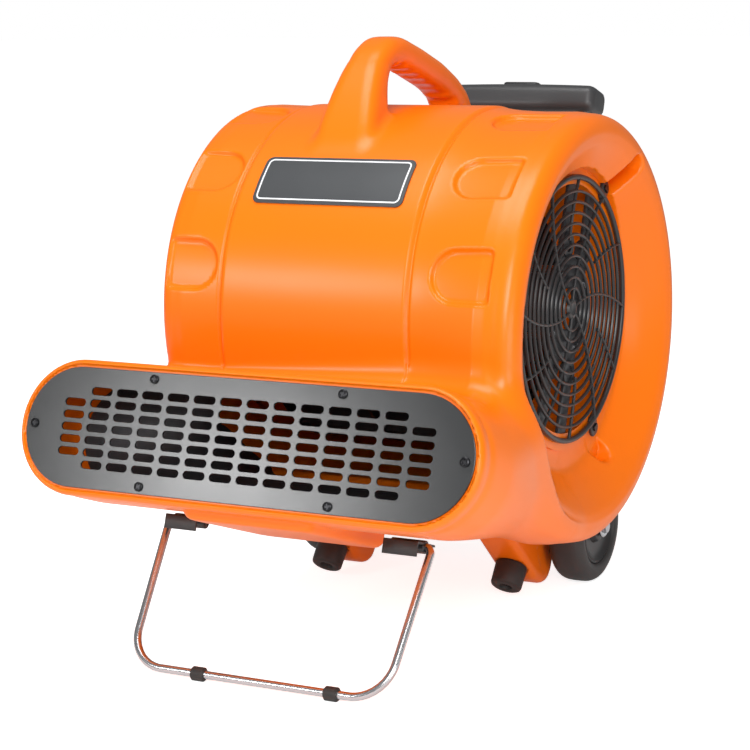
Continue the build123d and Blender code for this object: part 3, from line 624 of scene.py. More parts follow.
def surface_net(values: Array, axes: tuple[Array, Array, Array]) -> tuple[Array, Array]:
    """Closed surface where a field on a grid is zero.

    Each grid cell that the surface crosses gets one point, the mean of the crossings on its edges, and
    each crossed edge gives one quad through the four cells round it.

    Args:
        values: the field, negative inside.
        axes: the grid's coordinates along X, Y and Z.

    Returns:
        Points (n, 3) and quads (m, 4), facing outwards.
    """
    inside = values < 0
    shape = np.array(values.shape) - 1
    stride = np.array([shape[1] * shape[2], shape[2], 1])
    cells, crossings, rings, flips = [], [], [], []
    for a in range(3):
        b, c = (a + 1) % 3, (a + 2) % 3
        first = np.take(inside, range(values.shape[a] - 1), a)
        second = np.take(inside, range(1, values.shape[a]), a)
        at = np.argwhere(first != second)
        far = at.copy()
        far[:, a] += 1
        v0, v1 = values[tuple(at.T)], values[tuple(far.T)]
        t = v0 / (v0 - v1)
        point = np.stack([axes[d][at[:, d]] for d in range(3)], -1).astype(np.float64)
        point[:, a] += t * (axes[a][far[:, a]] - axes[a][at[:, a]])
        ring = []
        for ob, oc in ((0, 0), (-1, 0), (-1, -1), (0, -1)):
            cell = at.copy()
            cell[:, b] += ob
            cell[:, c] += oc
            ring.append(cell @ stride)
            crossings.append(point)
        cells.extend(ring)
        rings.append(np.stack(ring, -1))
        flips.append(v0 > 0)
    ids, where = np.unique(np.concatenate(cells), return_inverse=True)
    every = np.concatenate(crossings)
    count = np.bincount(where, minlength=len(ids))
    points = np.stack([np.bincount(where, every[:, d], len(ids)) / count for d in range(3)], -1)
    quads = np.searchsorted(ids, np.concatenate(rings))
    flip = np.concatenate(flips)
    quads[flip] = quads[flip][:, ::-1]
    return points, quads


# ---------------------------------------------------------------- shell
def mirrored_rim(seat: float, rim: float, radius: float, seat_radius: float, air: bool = False) -> Array:
    """Outline (|x|, radius) of a drum end: flat seat, bell throat, rounded lip and outer wall.

    Args:
        seat: |x| of the seat.
        rim: |x| of the lip's outermost ring.
        radius: radius of the outer wall.
        seat_radius: radius of the seat.
        air: whether the outline is that of the open space inside the bell instead.

    Returns:
        Array (points, 2), smoothed with short arcs.
    """
    depth, reach = rim - seat, radius - seat_radius
    marks = [(0.02, 0.0), (0.17, 0.09), (0.42, 0.22), (0.70, 0.40), (0.92, 0.56), (1.0, 0.70), (0.95, 0.84),
             (0.80, 0.94), (0.56, 0.995), (0.30, 1.0)]
    if air:
        inside = [(seat + a * depth, seat_radius + b * reach) for a, b in marks[1:6]]
        return rounded([(seat, -5.0), (seat, seat_radius), *inside, (300.0, seat_radius + 0.8 * reach), (300.0, -5.0)],
                       14.0)
    points = [(60.0, -1.0), (seat, -1.0), (seat, seat_radius)]
    points += [(seat + a * depth, seat_radius + b * reach) for a, b in marks[1:]]
    points += [(60.0, radius)]
    return rounded(points, 14.0)


@dataclass
class Shell:
    """Moulded housing: drum with flared inlets, wide outlet, stand block, legs and carry handle."""

    drum: float = 190.0
    seam: float = 96.0
    band: float = 188.0
    right_rim: tuple[float, float, float] = (172.0, 207.0, 203.0)  # |x| of the seat and of the lip, radius
    left_rim: tuple[float, float, float] = (134.0, 165.0, 190.0)
    rim_shift: tuple[float, float] = (6.5, -16.8)  # the right rim's centre, Y and Z
    seat_radius: float = 136.0
    inlet: float = 122.3
    flare_start: float = 101.0
    flare_length: float = 66.0
    flare: tuple[float, float] = (15.0, 2.0)  # right and left
    barrel_past: tuple[float, float] = (8.0, 7.0)  # past the seats, right and left
    barrel_core: float = 165.0
    outlet: tuple[float, float] = (464.0, 124.0)  # width and height
    outlet_z: float = -180.0
    outlet_y: tuple[float, float, float] = (-276.0, -215.0, -20.0)  # rim, start and end of the taper
    throat_sides: tuple[float, float] = (-134.0, 204.0)  # left and right X
    throat_grow: float = 16.0
    throat_z: float = -140.0
    passage_taper: tuple[float, float] = (98.0, 72.0)  # left and right
    passage_rise: float = 36.0
    wall: float = 5.0
    drum_wall: float = 9.0
    valley: tuple[float, float, float] = (1.3, 19.0, 6.0)  # depth, distance behind the rim, width
    lip: tuple[float, float, float] = (3.0, -264.0, 12.0)  # step, start Y, length
    ledge: tuple[float, float] = (-268.5, 3.5)  # middle Y, half thickness
    # painted shade: gap, thickness and reach of the black duct that stands in for the shadow inside the outlet
    shade_duct_gap: float = 4.2
    shade_duct_thick: float = 1.6
    shade_duct_y: tuple[float, float, float] = (-190.0, -112.0, 88.0)  # front, back, extra along the floor
    block: tuple[float, float, float, float] = (66.0, -246.0, -100.0, -250.0)  # half width, front, back, bottom
    block_top: float = -130.0
    handle_x: float = -12.0
    handle_half: tuple[float, float] = (20.0, 30.0)  # half width at the bar and at the roots
    handle_rise: tuple[float, float] = (135.0, 70.0)  # where it starts to narrow, over what height
    handle_root: float = 150.0
    rib: tuple[float, float] = (1.6, 19.0)  # height and pitch
    rib_z: tuple[float, float] = (200.0, 218.0)
    rib_y: tuple[float, float] = (-18.0, 74.0)  # middle and half length
    handle_outer: tuple[tuple[float, float], ...] = (
        (-152, 96), (-153, 125), (-149, 150), (-144, 172), (-136, 196), (-124, 217), (-106, 234), (-84, 241.5),
        (-43, 243.5), (4, 243.4), (41, 239), (67, 231), (84, 217), (96, 198), (103, 175), (106, 150))
    handle_inner: tuple[tuple[float, float], ...] = (
        (66, 166), (68, 180), (63, 196), (50, 208), (30, 214.5), (10, 216.5), (-40, 216), (-80, 214.5),
        (-98, 207), (-107, 190), (-108, 172), (-104, 150))
    leg_side: tuple[tuple[float, float], ...] = (
        (30, -150), (40, -212), (118, -246), (128, -252), (152, -254), (164, -248), (170, -232), (166, -212),
        (196, -196), (202, -180), (196, -164), (165, -120), (60, -110))
    leg_x: tuple[float, float] = (100.0, 20.0)  # middle and half width
    wheel: tuple[float, float, float] = (176.0, -188.0, 61.0)  # Y, Z and radius of the arch
    wheel_x: tuple[float, float] = (121.0, 167.0)
    foot: tuple[float, float, float, float, float] = (101.0, 100.0, -263.0, 16.3, 20.0)  # X, Y, Z, radius, lean
    foot_depth: tuple[float, float] = (10.0, 14.3)  # middle and half depth of the socket
    pocket_angles: tuple[float, float, float] = (72.0, 192.0, 312.0)
    pocket_ring: float = 134.0
    pocket_round: float = 11.0
    pocket_slot: tuple[float, float] = (12.0, 14.0)  # middle and half length
    web_seat: float = 133.5
    recess_right: tuple[float, float] = (119.0, 179.0)  # round end and straight end
    recess_left: tuple[float, float] = (104.0, 156.0)
    recess_half: float = 23.5
    recess_deep: float = 5.0
    recess_start: float = 33.0
    recess_span: tuple[float, float] = (-102.0, 108.0)
    recess_pitch: float = 30.0
    split: float = 101.5

    def __post_init__(self) -> None:
        """Fills the distance tables of the rims, the bell, the handle and the legs."""
        self.rim_right = OutlineField(mirrored_rim(*self.right_rim, self.seat_radius), (0, -10), (240, 340), 0.75)
        self.rim_left = OutlineField(mirrored_rim(*self.left_rim, self.seat_radius), (0, -10), (240, 340), 0.75)
        air = mirrored_rim(*self.right_rim, self.seat_radius, air=True)
        self.bell = OutlineField(air, (0, -10), (260, 340), 0.75)
        loop = rounded(list(self.handle_outer) + list(self.handle_inner), 9.0)
        self.handle = OutlineField(loop, (-300, -60), (240, 300), 0.75)
        self.leg = OutlineField(rounded(list(self.leg_side), 7.0), (-60, -300), (260, 60), 0.75)

    def outlet_field(self, x: Array, y: Array, z: Array) -> Array:
        """Distance across the outlet's outside, a rounded box whose sides move along Y.

        From the mouth back, the right side runs straight to the right rim, the left side curves in to
        the drum's left end, the floor rises to the rim's bottom, and the corner radius shrinks.

        Args:
            x: X of the points.
            y: Y of the points.
            z: Z of the points.

        Returns:
            The distances.
        """
        t = np.clip((y - self.outlet_y[1]) / (self.outlet_y[2] - self.outlet_y[1]), 0, 1.1)
        t = 1.12 * t * t / (t + 0.12)
        s = np.clip((y - self.outlet_y[1] - 25) / 110, 0, 1)
        s = s * s * (3 - 2 * s)
        right = self.outlet[0] / 2 + (self.throat_sides[1] - self.outlet[0] / 2) * t
        left = -self.outlet[0] / 2 + (self.throat_sides[0] + self.outlet[0] / 2) * s
        half = self.outlet[1] / 2 + self.throat_grow * t
        cz = self.outlet_z + (self.throat_z - self.outlet_z) * t
        corner = self.outlet[1] / 2 - 14.0 * t
        qx = np.abs(x - (left + right) / 2) - ((right - left) / 2 - corner)
        qz = np.abs(z - cz) - (half - corner)
        return np.hypot(np.maximum(qx, 0), np.maximum(qz, 0)) + np.minimum(np.maximum(qx, qz), 0) - corner

    def mouth_field(self, x: Array, y: Array, z: Array, thin: float | Array) -> Array:
        """Distance across the air passage, a stadium that narrows towards the fan.

        Args:
            x: X of the points.
            y: Y of the points.
            z: Z of the points.
            thin: how much smaller it is than the mouth on every side.

        Returns:
            The distances.
        """
        half = self.outlet[1] / 2 - thin
        left, right, cz = self.passage(y)
        across = np.maximum(np.abs(x - (left + right) / 2) - ((right - left) / 2 - thin - half), 0)
        return np.hypot(across, z - cz) - half

    def passage(self, y: Array) -> tuple[Array, Array, Array]:
        """Air passage at the given Y: its sides and its height move by smooth steps 110 mm long.

        Args:
            y: Y of the points.

        Returns:
            X of its left side, X of its right side and Z of its middle.
        """
        s, t = (np.clip((y - start) / 110, 0, 1) for start in (self.outlet_y[1] + 10, self.outlet_y[1] - 10))
        s, t = s * s * (3 - 2 * s), t * t * (3 - 2 * t)
        return (-self.outlet[0] / 2 + self.passage_taper[0] * s, self.outlet[0] / 2 - self.passage_taper[1] * t,
                self.outlet_z + self.passage_rise * s)

    def painted_shade_duct(self) -> Surface:
        """Black duct of painted shade: a thin sheet that follows the air passage, longer along its floor,
        which darkens the outlet's inside where it is only in shadow.

        Each of its strips runs along Y at an angle a round the passage, and ends further back by the
        duct's extra length times -1.5 sin a, held between 0 and 1.

        Returns:
            The closed duct.
        """
        strips = 72
        half = self.outlet[1] / 2 - self.wall - self.shade_duct_gap
        front, back, extra = self.shade_duct_y
        rings = []
        for k in range(strips):
            a = 2 * math.pi * (k + 0.5) / strips
            y = np.linspace(front, back + extra * float(np.clip(-1.5 * math.sin(a), 0, 1)), 11)
            left, right, cz = self.passage(y)
            reach = (right - left) / 2 - self.wall - self.shade_duct_gap - half
            x = (left + right) / 2 + math.copysign(1, math.cos(a)) * reach
            outer, inner = (np.stack([x + r * math.cos(a), y, cz + r * math.sin(a)], -1)
                            for r in (half, half - self.shade_duct_thick))
            rings.append(np.concatenate([outer, inner[::-1]]))
        return skin(np.array(rings), ring_to_ring=True)

    def recess_field(self, x: Array, y: Array, z: Array) -> Array:
        """Distance to the D-shaped recesses round both side bands.

        Each is a strip with one round end towards the middle of the drum and one straight end.

        Args:
            x: X of the points.
            y: Y of the points.
            z: Z of the points.

        Returns:
            The distances.
        """
        angle = np.degrees(np.arctan2(-y, z))
        turn = (angle - self.recess_start + self.recess_pitch / 2) % self.recess_pitch - self.recess_pitch / 2
        v = np.radians(turn) * self.band
        outward = np.abs(x)
        right = x > 0
        start = np.where(right, self.recess_right[0], self.recess_left[0])
        end = np.where(right, self.recess_right[1], self.recess_left[1])
        half = self.recess_half
        long = np.minimum(outward - start - half, 0)
        return soft_max(np.hypot(long, v) - half, outward - end, 5.0)

    def rim_radius(self, x: Array, y: Array, z: Array) -> Array:
        """Distance from the drum's axis, which slides to the right rim's own centre along the flare."""
        along = np.clip((x - self.flare_start) / self.flare_length, 0, 1)
        return np.hypot(y - self.rim_shift[0] * along, z - self.rim_shift[1] * along)

    def drum_field(self, x: Array, y: Array, z: Array, radius: Array) -> Array:
        """Distance to the drum: its rims and barrel inside its wall, less the seam grooves and the recesses.

        The wall steps from the drum to its side bands at the seams, and flares outwards by the flare's
        height times the 1.3th power of the way along it.

        Args:
            x: X of the points.
            y: Y of the points.
            z: Z of the points.
            radius: what rim_radius gave for them.

        Returns:
            The distances.
        """
        out, right = np.abs(x), x > 0
        far = np.clip((out - self.seam) / 2.0, 0, 1)
        flare = np.where(right, *self.flare) * np.clip((out - self.flare_start) / self.flare_length, 0, 1) ** 1.3
        wall = radius - (self.drum + (self.band - self.drum) * far + flare)
        groove = np.hypot(out - self.seam - 1.2, wall - 0.4) - 2.3
        barrel = np.where(right, x - self.right_rim[0] - self.barrel_past[0],
                          -x - self.left_rim[0] - self.barrel_past[1])
        barrel = np.maximum(barrel, self.barrel_core - radius)
        body = np.where(right, self.rim_right.at(x, radius), self.rim_left.at(-x, radius))
        body = soft_max(soft_min(body, barrel, 8.0), wall, 4.0)
        body = soft_max(body, -groove, 2.0)
        turn = np.degrees(np.arctan2(-y, z))
        cut = soft_max(self.recess_field(x, y, z), -(wall + self.recess_deep), 4.0)
        cut = np.where((turn > self.recess_span[0]) & (turn < self.recess_span[1]), cut, 20.0)
        return soft_max(body, -cut, 3.5)

    def tube_field(self, x: Array, y: Array, z: Array) -> Array:
        """Distance to the outlet's outside with a shallow valley behind its rim.

        The valley's depth is a bell curve of Y.

        Args:
            x: X of the points.
            y: Y of the points.
            z: Z of the points.

        Returns:
            The distances.
        """
        deep, behind, width = self.valley
        valley = deep * np.exp(-((y - self.outlet_y[0] - behind) / width) ** 2)
        tube = soft_max(self.outlet_field(x, y, z) + valley, self.outlet_y[0] - y, 8.0)
        return soft_max(tube, y - 4.0, 30.0)

    def handle_field(self, x: Array, y: Array, z: Array, radius: Array) -> Array:
        """Distance to the carry handle, an arch that narrows upwards and whose bar is ribbed.

        The ribs are a cosine of Y, and fade out over 6 mm below and above the bar.

        Args:
            x: X of the points.
            y: Y of the points.
            z: Z of the points.
            radius: what rim_radius gave for them.

        Returns:
            The distances.
        """
        rise = np.clip((z - self.handle_rise[0]) / self.handle_rise[1], 0, 1)
        half = self.handle_half[1] + (self.handle_half[0] - self.handle_half[1]) * rise
        height, pitch = self.rib
        ribs = height * np.cos(y * (2 * math.pi / pitch))
        ribs = ribs * np.clip((self.rib_z[1] - z) / 6, 0, 1) * np.clip((z - self.rib_z[0]) / 6, 0, 1)
        ribs = ribs * (np.abs(y - self.rib_y[0]) < self.rib_y[1])
        arch = soft_max(self.handle.at(y, z) + ribs, np.abs(x - self.handle_x) - half, 15.0)
        return np.maximum(arch, self.handle_root - radius)

    def hollow_field(self, x: Array, y: Array, z: Array, radius: Array) -> Array:
        """Distance to the open space inside: the drum's inside and the air passage, run together.

        The passage is narrower behind the lip that holds the plate.

        Args:
            x: X of the points.
            y: Y of the points.
            z: Z of the points.
            radius: what rim_radius gave for them.

        Returns:
            The distances.
        """
        ends = np.where(x > 0, x - (self.right_rim[0] - self.wall), -x - (self.left_rim[0] - self.wall))
        drum = np.maximum(radius - (self.band - self.drum_wall), ends)
        step, start, length = self.lip
        thin = self.wall + step * np.clip((y - start) / length, 0, 1)
        bore = soft_max(self.mouth_field(x, y, z, thin), y + 20.0, 20.0)
        return soft_min(drum, bore, 8.0)

    def with_supports(self, body: Array, x: Array, y: Array, z: Array) -> Array:
        """Adds the stand block under the outlet and the two legs.

        Args:
            body: the field so far.
            x: X of the points.
            y: Y of the points.
            z: Z of the points.

        Returns:
            The field with both.
        """
        half, front, back, bottom = self.block
        sides = soft_max(np.abs(x) - half, np.abs(y - (front + back) / 2) - (back - front) / 2, 9.0)
        block = soft_max(sides, bottom - z, 9.0)
        body = soft_min(body, np.maximum(block, z - self.block_top), 4.0)
        leg = soft_max(self.leg.at(y, z), np.abs(np.abs(x) - self.leg_x[0]) - self.leg_x[1], 9.0)
        return soft_min(body, leg, 16.0)

    def with_inlets(self, body: Array, x: Array, y: Array, z: Array) -> Array:
        """Cuts the inlets, the seats of the guards and the slotted pockets of their lugs.

        A pocket is a round hole joined to a slot that runs outwards along the lug's own angle.

        Args:
            body: the field so far.
            x: X of the points.
            y: Y of the points.
            z: Z of the points.

        Returns:
            The field with the cuts.
        """
        axis = np.hypot(y, z)
        seat = np.where(x > 0, self.right_rim[0] - x, self.left_rim[0] + x)
        body = soft_max(body, -np.maximum(axis - self.inlet, np.abs(seat) - 30), 1.5)
        start, length = self.pocket_slot
        for angle in self.pocket_angles:
            c, s = math.cos(math.radians(angle)), math.sin(math.radians(angle))
            py, pz = y - self.pocket_ring * c, z - self.pocket_ring * s
            reach, side = py * c + pz * s, -py * s + pz * c
            slot = np.hypot(side, np.maximum(np.abs(reach - start) - length, 0)) - self.pocket_round
            pocket = np.minimum(slot, np.hypot(py, pz) - self.pocket_round)
            body = soft_max(body, -np.maximum(pocket, seat), 3.5)
        return np.maximum(body, -np.maximum(axis - self.web_seat, seat))

    def with_sockets(self, body: Array, x: Array, y: Array, z: Array) -> Array:
        """Cuts the wheel arches and the sockets of the feet, which lean with the feet.

        Args:
            body: the field so far.
            x: X of the points.
            y: Y of the points.
            z: Z of the points.

        Returns:
            The field with the cuts.
        """
        wy, wz, wr = self.wheel
        arch = np.maximum(np.hypot(y - wy, z - wz) - wr,
                          np.abs(np.abs(x) - sum(self.wheel_x) / 2) - (self.wheel_x[1] - self.wheel_x[0]) / 2)
        body = soft_max(body, -arch, 3.0)
        fx, fy, fz, fr, lean = self.foot
        c, s = math.cos(math.radians(lean)), math.sin(math.radians(lean))
        up = (z - fz) * c + (y - fy) * s
        over = (y - fy) * c - (z - fz) * s
        foot = np.maximum(np.hypot(np.abs(x) - fx, over) - fr, np.abs(up - self.foot_depth[0]) - self.foot_depth[1])
        return soft_max(body, -foot, 1.5)

    def field(self, x: Array, y: Array, z: Array) -> Array:
        """Distance to the whole moulding, in flat millimetres, negative in the plastic.

        The drum, the outlet, block, legs and handle are run together with filled creases; then the
        bell, the hollow, the inlets, the arches and the sockets are taken out. The last number of each
        soft_min and soft_max is the width of that fillet.

        Args:
            x: X of the points.
            y: Y of the points.
            z: Z of the points.

        Returns:
            The distances.
        """
        radius = self.rim_radius(x, y, z)
        crease = 9.0 + 23.0 * np.clip((x + 110) / 220, 0, 1)
        body = soft_min(self.drum_field(x, y, z, radius), self.tube_field(x, y, z), crease)
        body = soft_max(body, -self.bell.at(x, radius), 3.0)
        body = self.with_supports(body, x, y, z)
        body = soft_min(body, self.handle_field(x, y, z, radius), 9.0)
        body = soft_max(body, -self.hollow_field(x, y, z, radius), 1.6)
        ledge = np.maximum(self.mouth_field(x, y, z, self.wall - 1.0),
                           -self.mouth_field(x, y, z, self.wall + 10.0))
        body = np.minimum(body, np.maximum(ledge, np.abs(y - self.ledge[0]) - self.ledge[1]))
        return self.with_sockets(self.with_inlets(body, x, y, z), x, y, z)

    def normals(self, p: Array) -> Array:
        """Gradient of the field, from central differences.

        Args:
            p: array (points, 3), flat millimetres.

        Returns:
            Array (points, 3), of a length near 1.
        """
        h = 0.6
        g = np.empty_like(p)
        for d in range(3):
            q, r = p.copy(), p.copy()
            q[:, d] += h
            r[:, d] -= h
            g[:, d] = self.field(*q.T) - self.field(*r.T)
        return g / (2 * h)

    def net(self) -> tuple[Array, Array]:
        """Net of the whole moulding on a grid that is finer across the seams and the side bands.

        Each point is then moved onto the surface by two Newton steps, each at most a third of a grid
        cell.

        Returns:
            Its points, flat millimetres, and its quads.
        """
        slab, longest = 24, 0.9

        def steps(low: float, high: float, size: float) -> Array:
            """Evenly spaced numbers, about size apart, without the last."""
            return np.linspace(low, high, max(2, round((high - low) / size)), endpoint=False)

        xs = np.concatenate([steps(-240, -100.5, 2.9), steps(-100.5, -93.5, 1.0), steps(-93.5, -34, 4.2),
                             steps(-34, 10, 3.0), steps(10, 84, 4.2), steps(84, 100.5, 1.1),
                             steps(100.5, 240, 2.7), [240.0]])
        ys = np.concatenate([steps(-281, 217, 2.75), [217.0]])
        zs = np.concatenate([steps(-268, 251, 2.75), [251.0]])
        values = np.empty((len(xs), len(ys), len(zs)), np.float32)
        for i in range(0, len(xs), slab):
            values[i:i + slab] = self.field(xs[i:i + slab, None, None], ys[None, :, None], zs[None, None, :])
        points, quads = surface_net(values, (xs, ys, zs))
        for _ in range(2):
            g = self.normals(points)
            size = np.maximum((g * g).sum(1), 0.25)
            move = -(self.field(*points.T) / size)[:, None] * g
            length = np.linalg.norm(move, axis=1)[:, None]
            points = points + move * np.minimum(1, longest / np.maximum(length, 1e-9))
        return points, quads

    def between(self, whole: bpy.types.Mesh, name: str, low: float | None, high: float | None) -> bpy.types.Mesh:
        """Part of the moulding between two planes across X, with its cut ends filled.

        Args:
            whole: mesh of the whole moulding, flat millimetres.
            name: name of the new mesh.
            low: X of the lower plane, if there is one.
            high: X of the upper plane, if there is one.

        Returns:
            The new mesh, flat millimetres.
        """
        work = bmesh.new()
        work.from_mesh(whole)
        for at, side in ((low, -1.0), (high, 1.0)):
            if at is None:
                continue
            everything = work.verts[:] + work.edges[:] + work.faces[:]
            bmesh.ops.bisect_plane(work, geom=everything, dist=1e-4, plane_co=(at, 0, 0),
                                   plane_no=(side, 0, 0), clear_outer=True)
            rim = [e for e in work.edges if e.is_boundary and all(abs(v.co.x - at) < 1e-2 for v in e.verts)]
            bmesh.ops.triangle_fill(work, use_beauty=True, edges=rim, normal=(side, 0, 0))
        mesh = bpy.data.meshes.new(name)
        bmesh.ops.recalc_face_normals(work, faces=work.faces)
        work.to_mesh(mesh)
        work.free()
        return mesh

    def placed(self, mesh: bpy.types.Mesh, attitude: Attitude) -> None:
        """Moves a mesh to the row frame, and shades it with the field's own normals.

        Args:
            mesh: the mesh, flat millimetres.
            attitude: tilt and place of the row frame.
        """
        flat = np.empty(len(mesh.vertices) * 3, np.float32)
        mesh.vertices.foreach_get("co", flat)
        flat = flat.reshape(-1, 3).astype(np.float64)
        aim = self.normals(flat)
        aim /= np.maximum(np.linalg.norm(aim, axis=1), 1e-9)[:, None]
        mesh.vertices.foreach_set("co", attitude.place(flat).astype(np.float32).ravel())
        mesh.polygons.foreach_set("use_smooth", np.ones(len(mesh.polygons), bool))
        mesh.update()
        mesh.normals_split_custom_set_from_vertices(attitude.aim(aim).tolist())

    def build(self, shop: Workshop) -> None:
        """Makes the three pieces of the moulding, split beside the seams, and a black duct of painted shade inside the
        outlet.

        Args:
            shop: where pieces are made.
        """
        points, quads = self.net()
        whole = mesh_of("whole", points, [quads])
        for name, low, high, nodes in (("shell_left", None, -self.split, ("housing_left",)),
                                       ("shell_middle", -self.split, self.split, ("carry_handle", "outlet_seat")),
                                       ("shell_right", self.split, None, ("housing_right",))):
            mesh = self.between(whole, name, low, high)
            self.placed(mesh, shop.attitude)
            shop.mounted(name, mesh, ORANGE, "housing", nodes)
        bpy.data.meshes.remove(whole)
        # painted shade: a black duct inside the outlet darkens what shows through the plate's slots, where the orange
        # inside is only in shadow
        shop.piece("throat_liner", self.painted_shade_duct(), MOTOR_PAINT_AND_SHADE, "housing")


# ---------------------------------------------------------------- outlet
@dataclass
class Outlet:
    """Slotted plate in the mouth, with its screws."""

    size: tuple[float, float, float] = (450.0, 109.0, 2.0)
    front: float = -274.0
    centre_z: float = -180.0
    slot: tuple[float, float] = (22.0, 6.8)
    pitch: tuple[float, float] = (27.0, 11.1)
    rows: int = 7
    columns: int = 14
    short_columns: int = 12
    ease: float = 0.4
    screws: tuple[tuple[float, float], ...] = ((-95, 48), (95, 48), (-95, -48), (95, -48), (-216, 0), (216, 0))

    def slots(self) -> list[tuple[float, float]]:
        """Centres of the slots on the plate; the first and last rows are shorter.

        Returns:
            Their (x, z) from the plate's middle.
        """
        found = []
        for row in range(self.rows):
            count = self.short_columns if row in (0, self.rows - 1) else self.columns
            found += [((column - (count - 1) / 2) * self.pitch[0], (row - (self.rows - 1) / 2) * self.pitch[1])
                      for column in range(count)]
        return found

    def plate(self) -> Surface:
        """Plate with its slots and eased edges, cut from one flat outline.

        Returns:
            The closed plate.
        """
        curve = bpy.data.curves.new("plate_outline", "CURVE")
        curve.dimensions, curve.fill_mode = "2D", "BOTH"
        curve.extrude = self.size[2] / 2 - self.ease
        curve.bevel_depth, curve.bevel_resolution, curve.offset = self.ease, 1, -self.ease
        width, height = self.size[:2]
        outlines = [box_outline(width, height, height / 2 - 0.01, 16)]
        slot = box_outline(*self.slot, self.slot[1] / 2 - 0.01, 4)
        outlines += [slot + np.array(c) for c in self.slots()]
        for outline in outlines:
            spline = curve.splines.new("POLY")
            spline.points.add(len(outline) - 1)
            flat = np.zeros((len(outline), 4))
            flat[:, :2], flat[:, 3] = outline, 1
            spline.points.foreach_set("co", flat.ravel())
            spline.use_cyclic_u = True
        holder = bpy.data.objects.new("plate_outline", curve)
        bpy.context.scene.collection.objects.link(holder)
        bpy.context.view_layer.update()
        mesh = bpy.data.meshes.new_from_object(holder)
        bpy.data.objects.remove(holder)
        co = np.empty(len(mesh.vertices) * 3, np.float32)
        mesh.vertices.foreach_get("co", co)
        co = co.reshape(-1, 3).astype(float)
        placed = np.stack([co[:, 0], self.front + self.size[2] / 2 - co[:, 2], co[:, 1] + self.centre_z], -1)
        sizes = np.array([len(p.vertices) for p in mesh.polygons])
        blocks = [np.array([list(p.vertices) for p in mesh.polygons if len(p.vertices) == n]) for n in np.unique(sizes)]
        bpy.data.meshes.remove(mesh)
        return Surface(placed, blocks)

    def build(self, shop: Workshop) -> None:
        """Makes the plate and its screws.

        Args:
            shop: where pieces are made.
        """
        shop.piece("plate", self.plate(), PLATE, "housing", ("outlet_plate",), sharp=12)
        head = screw_head(*PAN_HEAD).turned("Z", -90)
        heads = [head.turned("Y", 25 * i).moved(x, self.front - 0.05, self.centre_z + z)
                 for i, (x, z) in enumerate(self.screws)]
        shop.piece("plate_screw_heads", joined(heads), SCREW, "housing", ("plate_screws",))


# ---------------------------------------------------------------- label
@dataclass
class Label:
    """Blank name plate that follows the drum, with a silver border line."""

    size: tuple[float, float] = (156.0, 53.0)
    angle: float = 66.5
    radius: float = 190.3
    thick: float = 1.4
    corner: float = 7.0
    margin: float = 8.2
    strip: tuple[float, float, float] = (1.5, 0.5, 0.15)

    def bent(self, p: Array) -> Array:
        """Wraps a flat sheet on the drum: (x, s, height) goes to the arc s past the middle angle.

        Args:
            p: points of the flat sheet.

        Returns:
            Their places on the drum.
        """
        a = math.radians(self.angle) - p[..., 1] / self.radius
        r = self.radius + p[..., 2]
        return np.stack([p[..., 0], -r * np.sin(a), r * np.cos(a)], -1)

    def sheet(self, width: float, height: float, corner: float, base: float, thick: float) -> Surface:
        """Rounded sheet of rows whose half width shrinks in the corners as a circle does.

        Args:
            width: along X.
            height: round the drum.
            corner: corner radius.
            base: height of its underside over the drum.
            thick: thickness.

        Returns:
            The closed sheet, wrapped on the drum.
        """
        a = np.linspace(0, math.pi / 2, 8)
        edge = height / 2 - corner
        s = np.concatenate([-edge - corner * np.cos(a), np.linspace(-edge, edge, 14)[1:-1],
                            edge + corner * np.sin(a)])
        over = np.clip(np.abs(s) - edge, 0, corner)
        half = width / 2 - corner + np.sqrt(np.maximum(corner ** 2 - over ** 2, 0))
        columns = np.linspace(-1, 1, 25)
        x = half[:, None] * columns
        top = np.stack([x, np.broadcast_to(s[:, None], x.shape), np.full(x.shape, base + thick)], -1)
        low = top.copy()
        low[..., 2] = base
        rings = np.concatenate([top, low[:, ::-1]], 1)
        return skin(self.bent(rings)[:, ::-1])

    def line(self) -> Surface:
        """Border line: a flat strip carried round a rounded rectangle, with a point every 5 mm or less.

        Returns:
            The closed strip, wrapped on the drum.
        """
        outline = box_outline(self.size[0] - self.margin, self.size[1] - self.margin, self.corner - 2.5, 8)
        filled = []
        for p, q in zip(outline, np.roll(outline, -1, 0)):
            count = max(1, int(np.linalg.norm(q - p) / 5))
            filled.append(p + (q - p) * np.arange(count)[:, None] / count)
        path = np.concatenate(filled)
        path = np.column_stack([path, np.full(len(path), self.thick + self.strip[1] / 2)])
        flat = carried(path, box_outline(*self.strip, 2), np.array([0.0, 0, 1]), closed=True)
        return Surface(self.bent(flat.points), flat.blocks)

    def build(self, shop: Workshop) -> None:
        """Makes the plate and its border.

        Args:
            shop: where pieces are made.
        """
        plate = self.sheet(*self.size, self.corner, 0.0, self.thick)
        shop.piece("name_plate", plate, LABEL, "housing", ("label_plate",), edge=0.35)
        shop.piece("name_plate_line", self.line(), LABEL_LINE, "housing", ("label_border",))


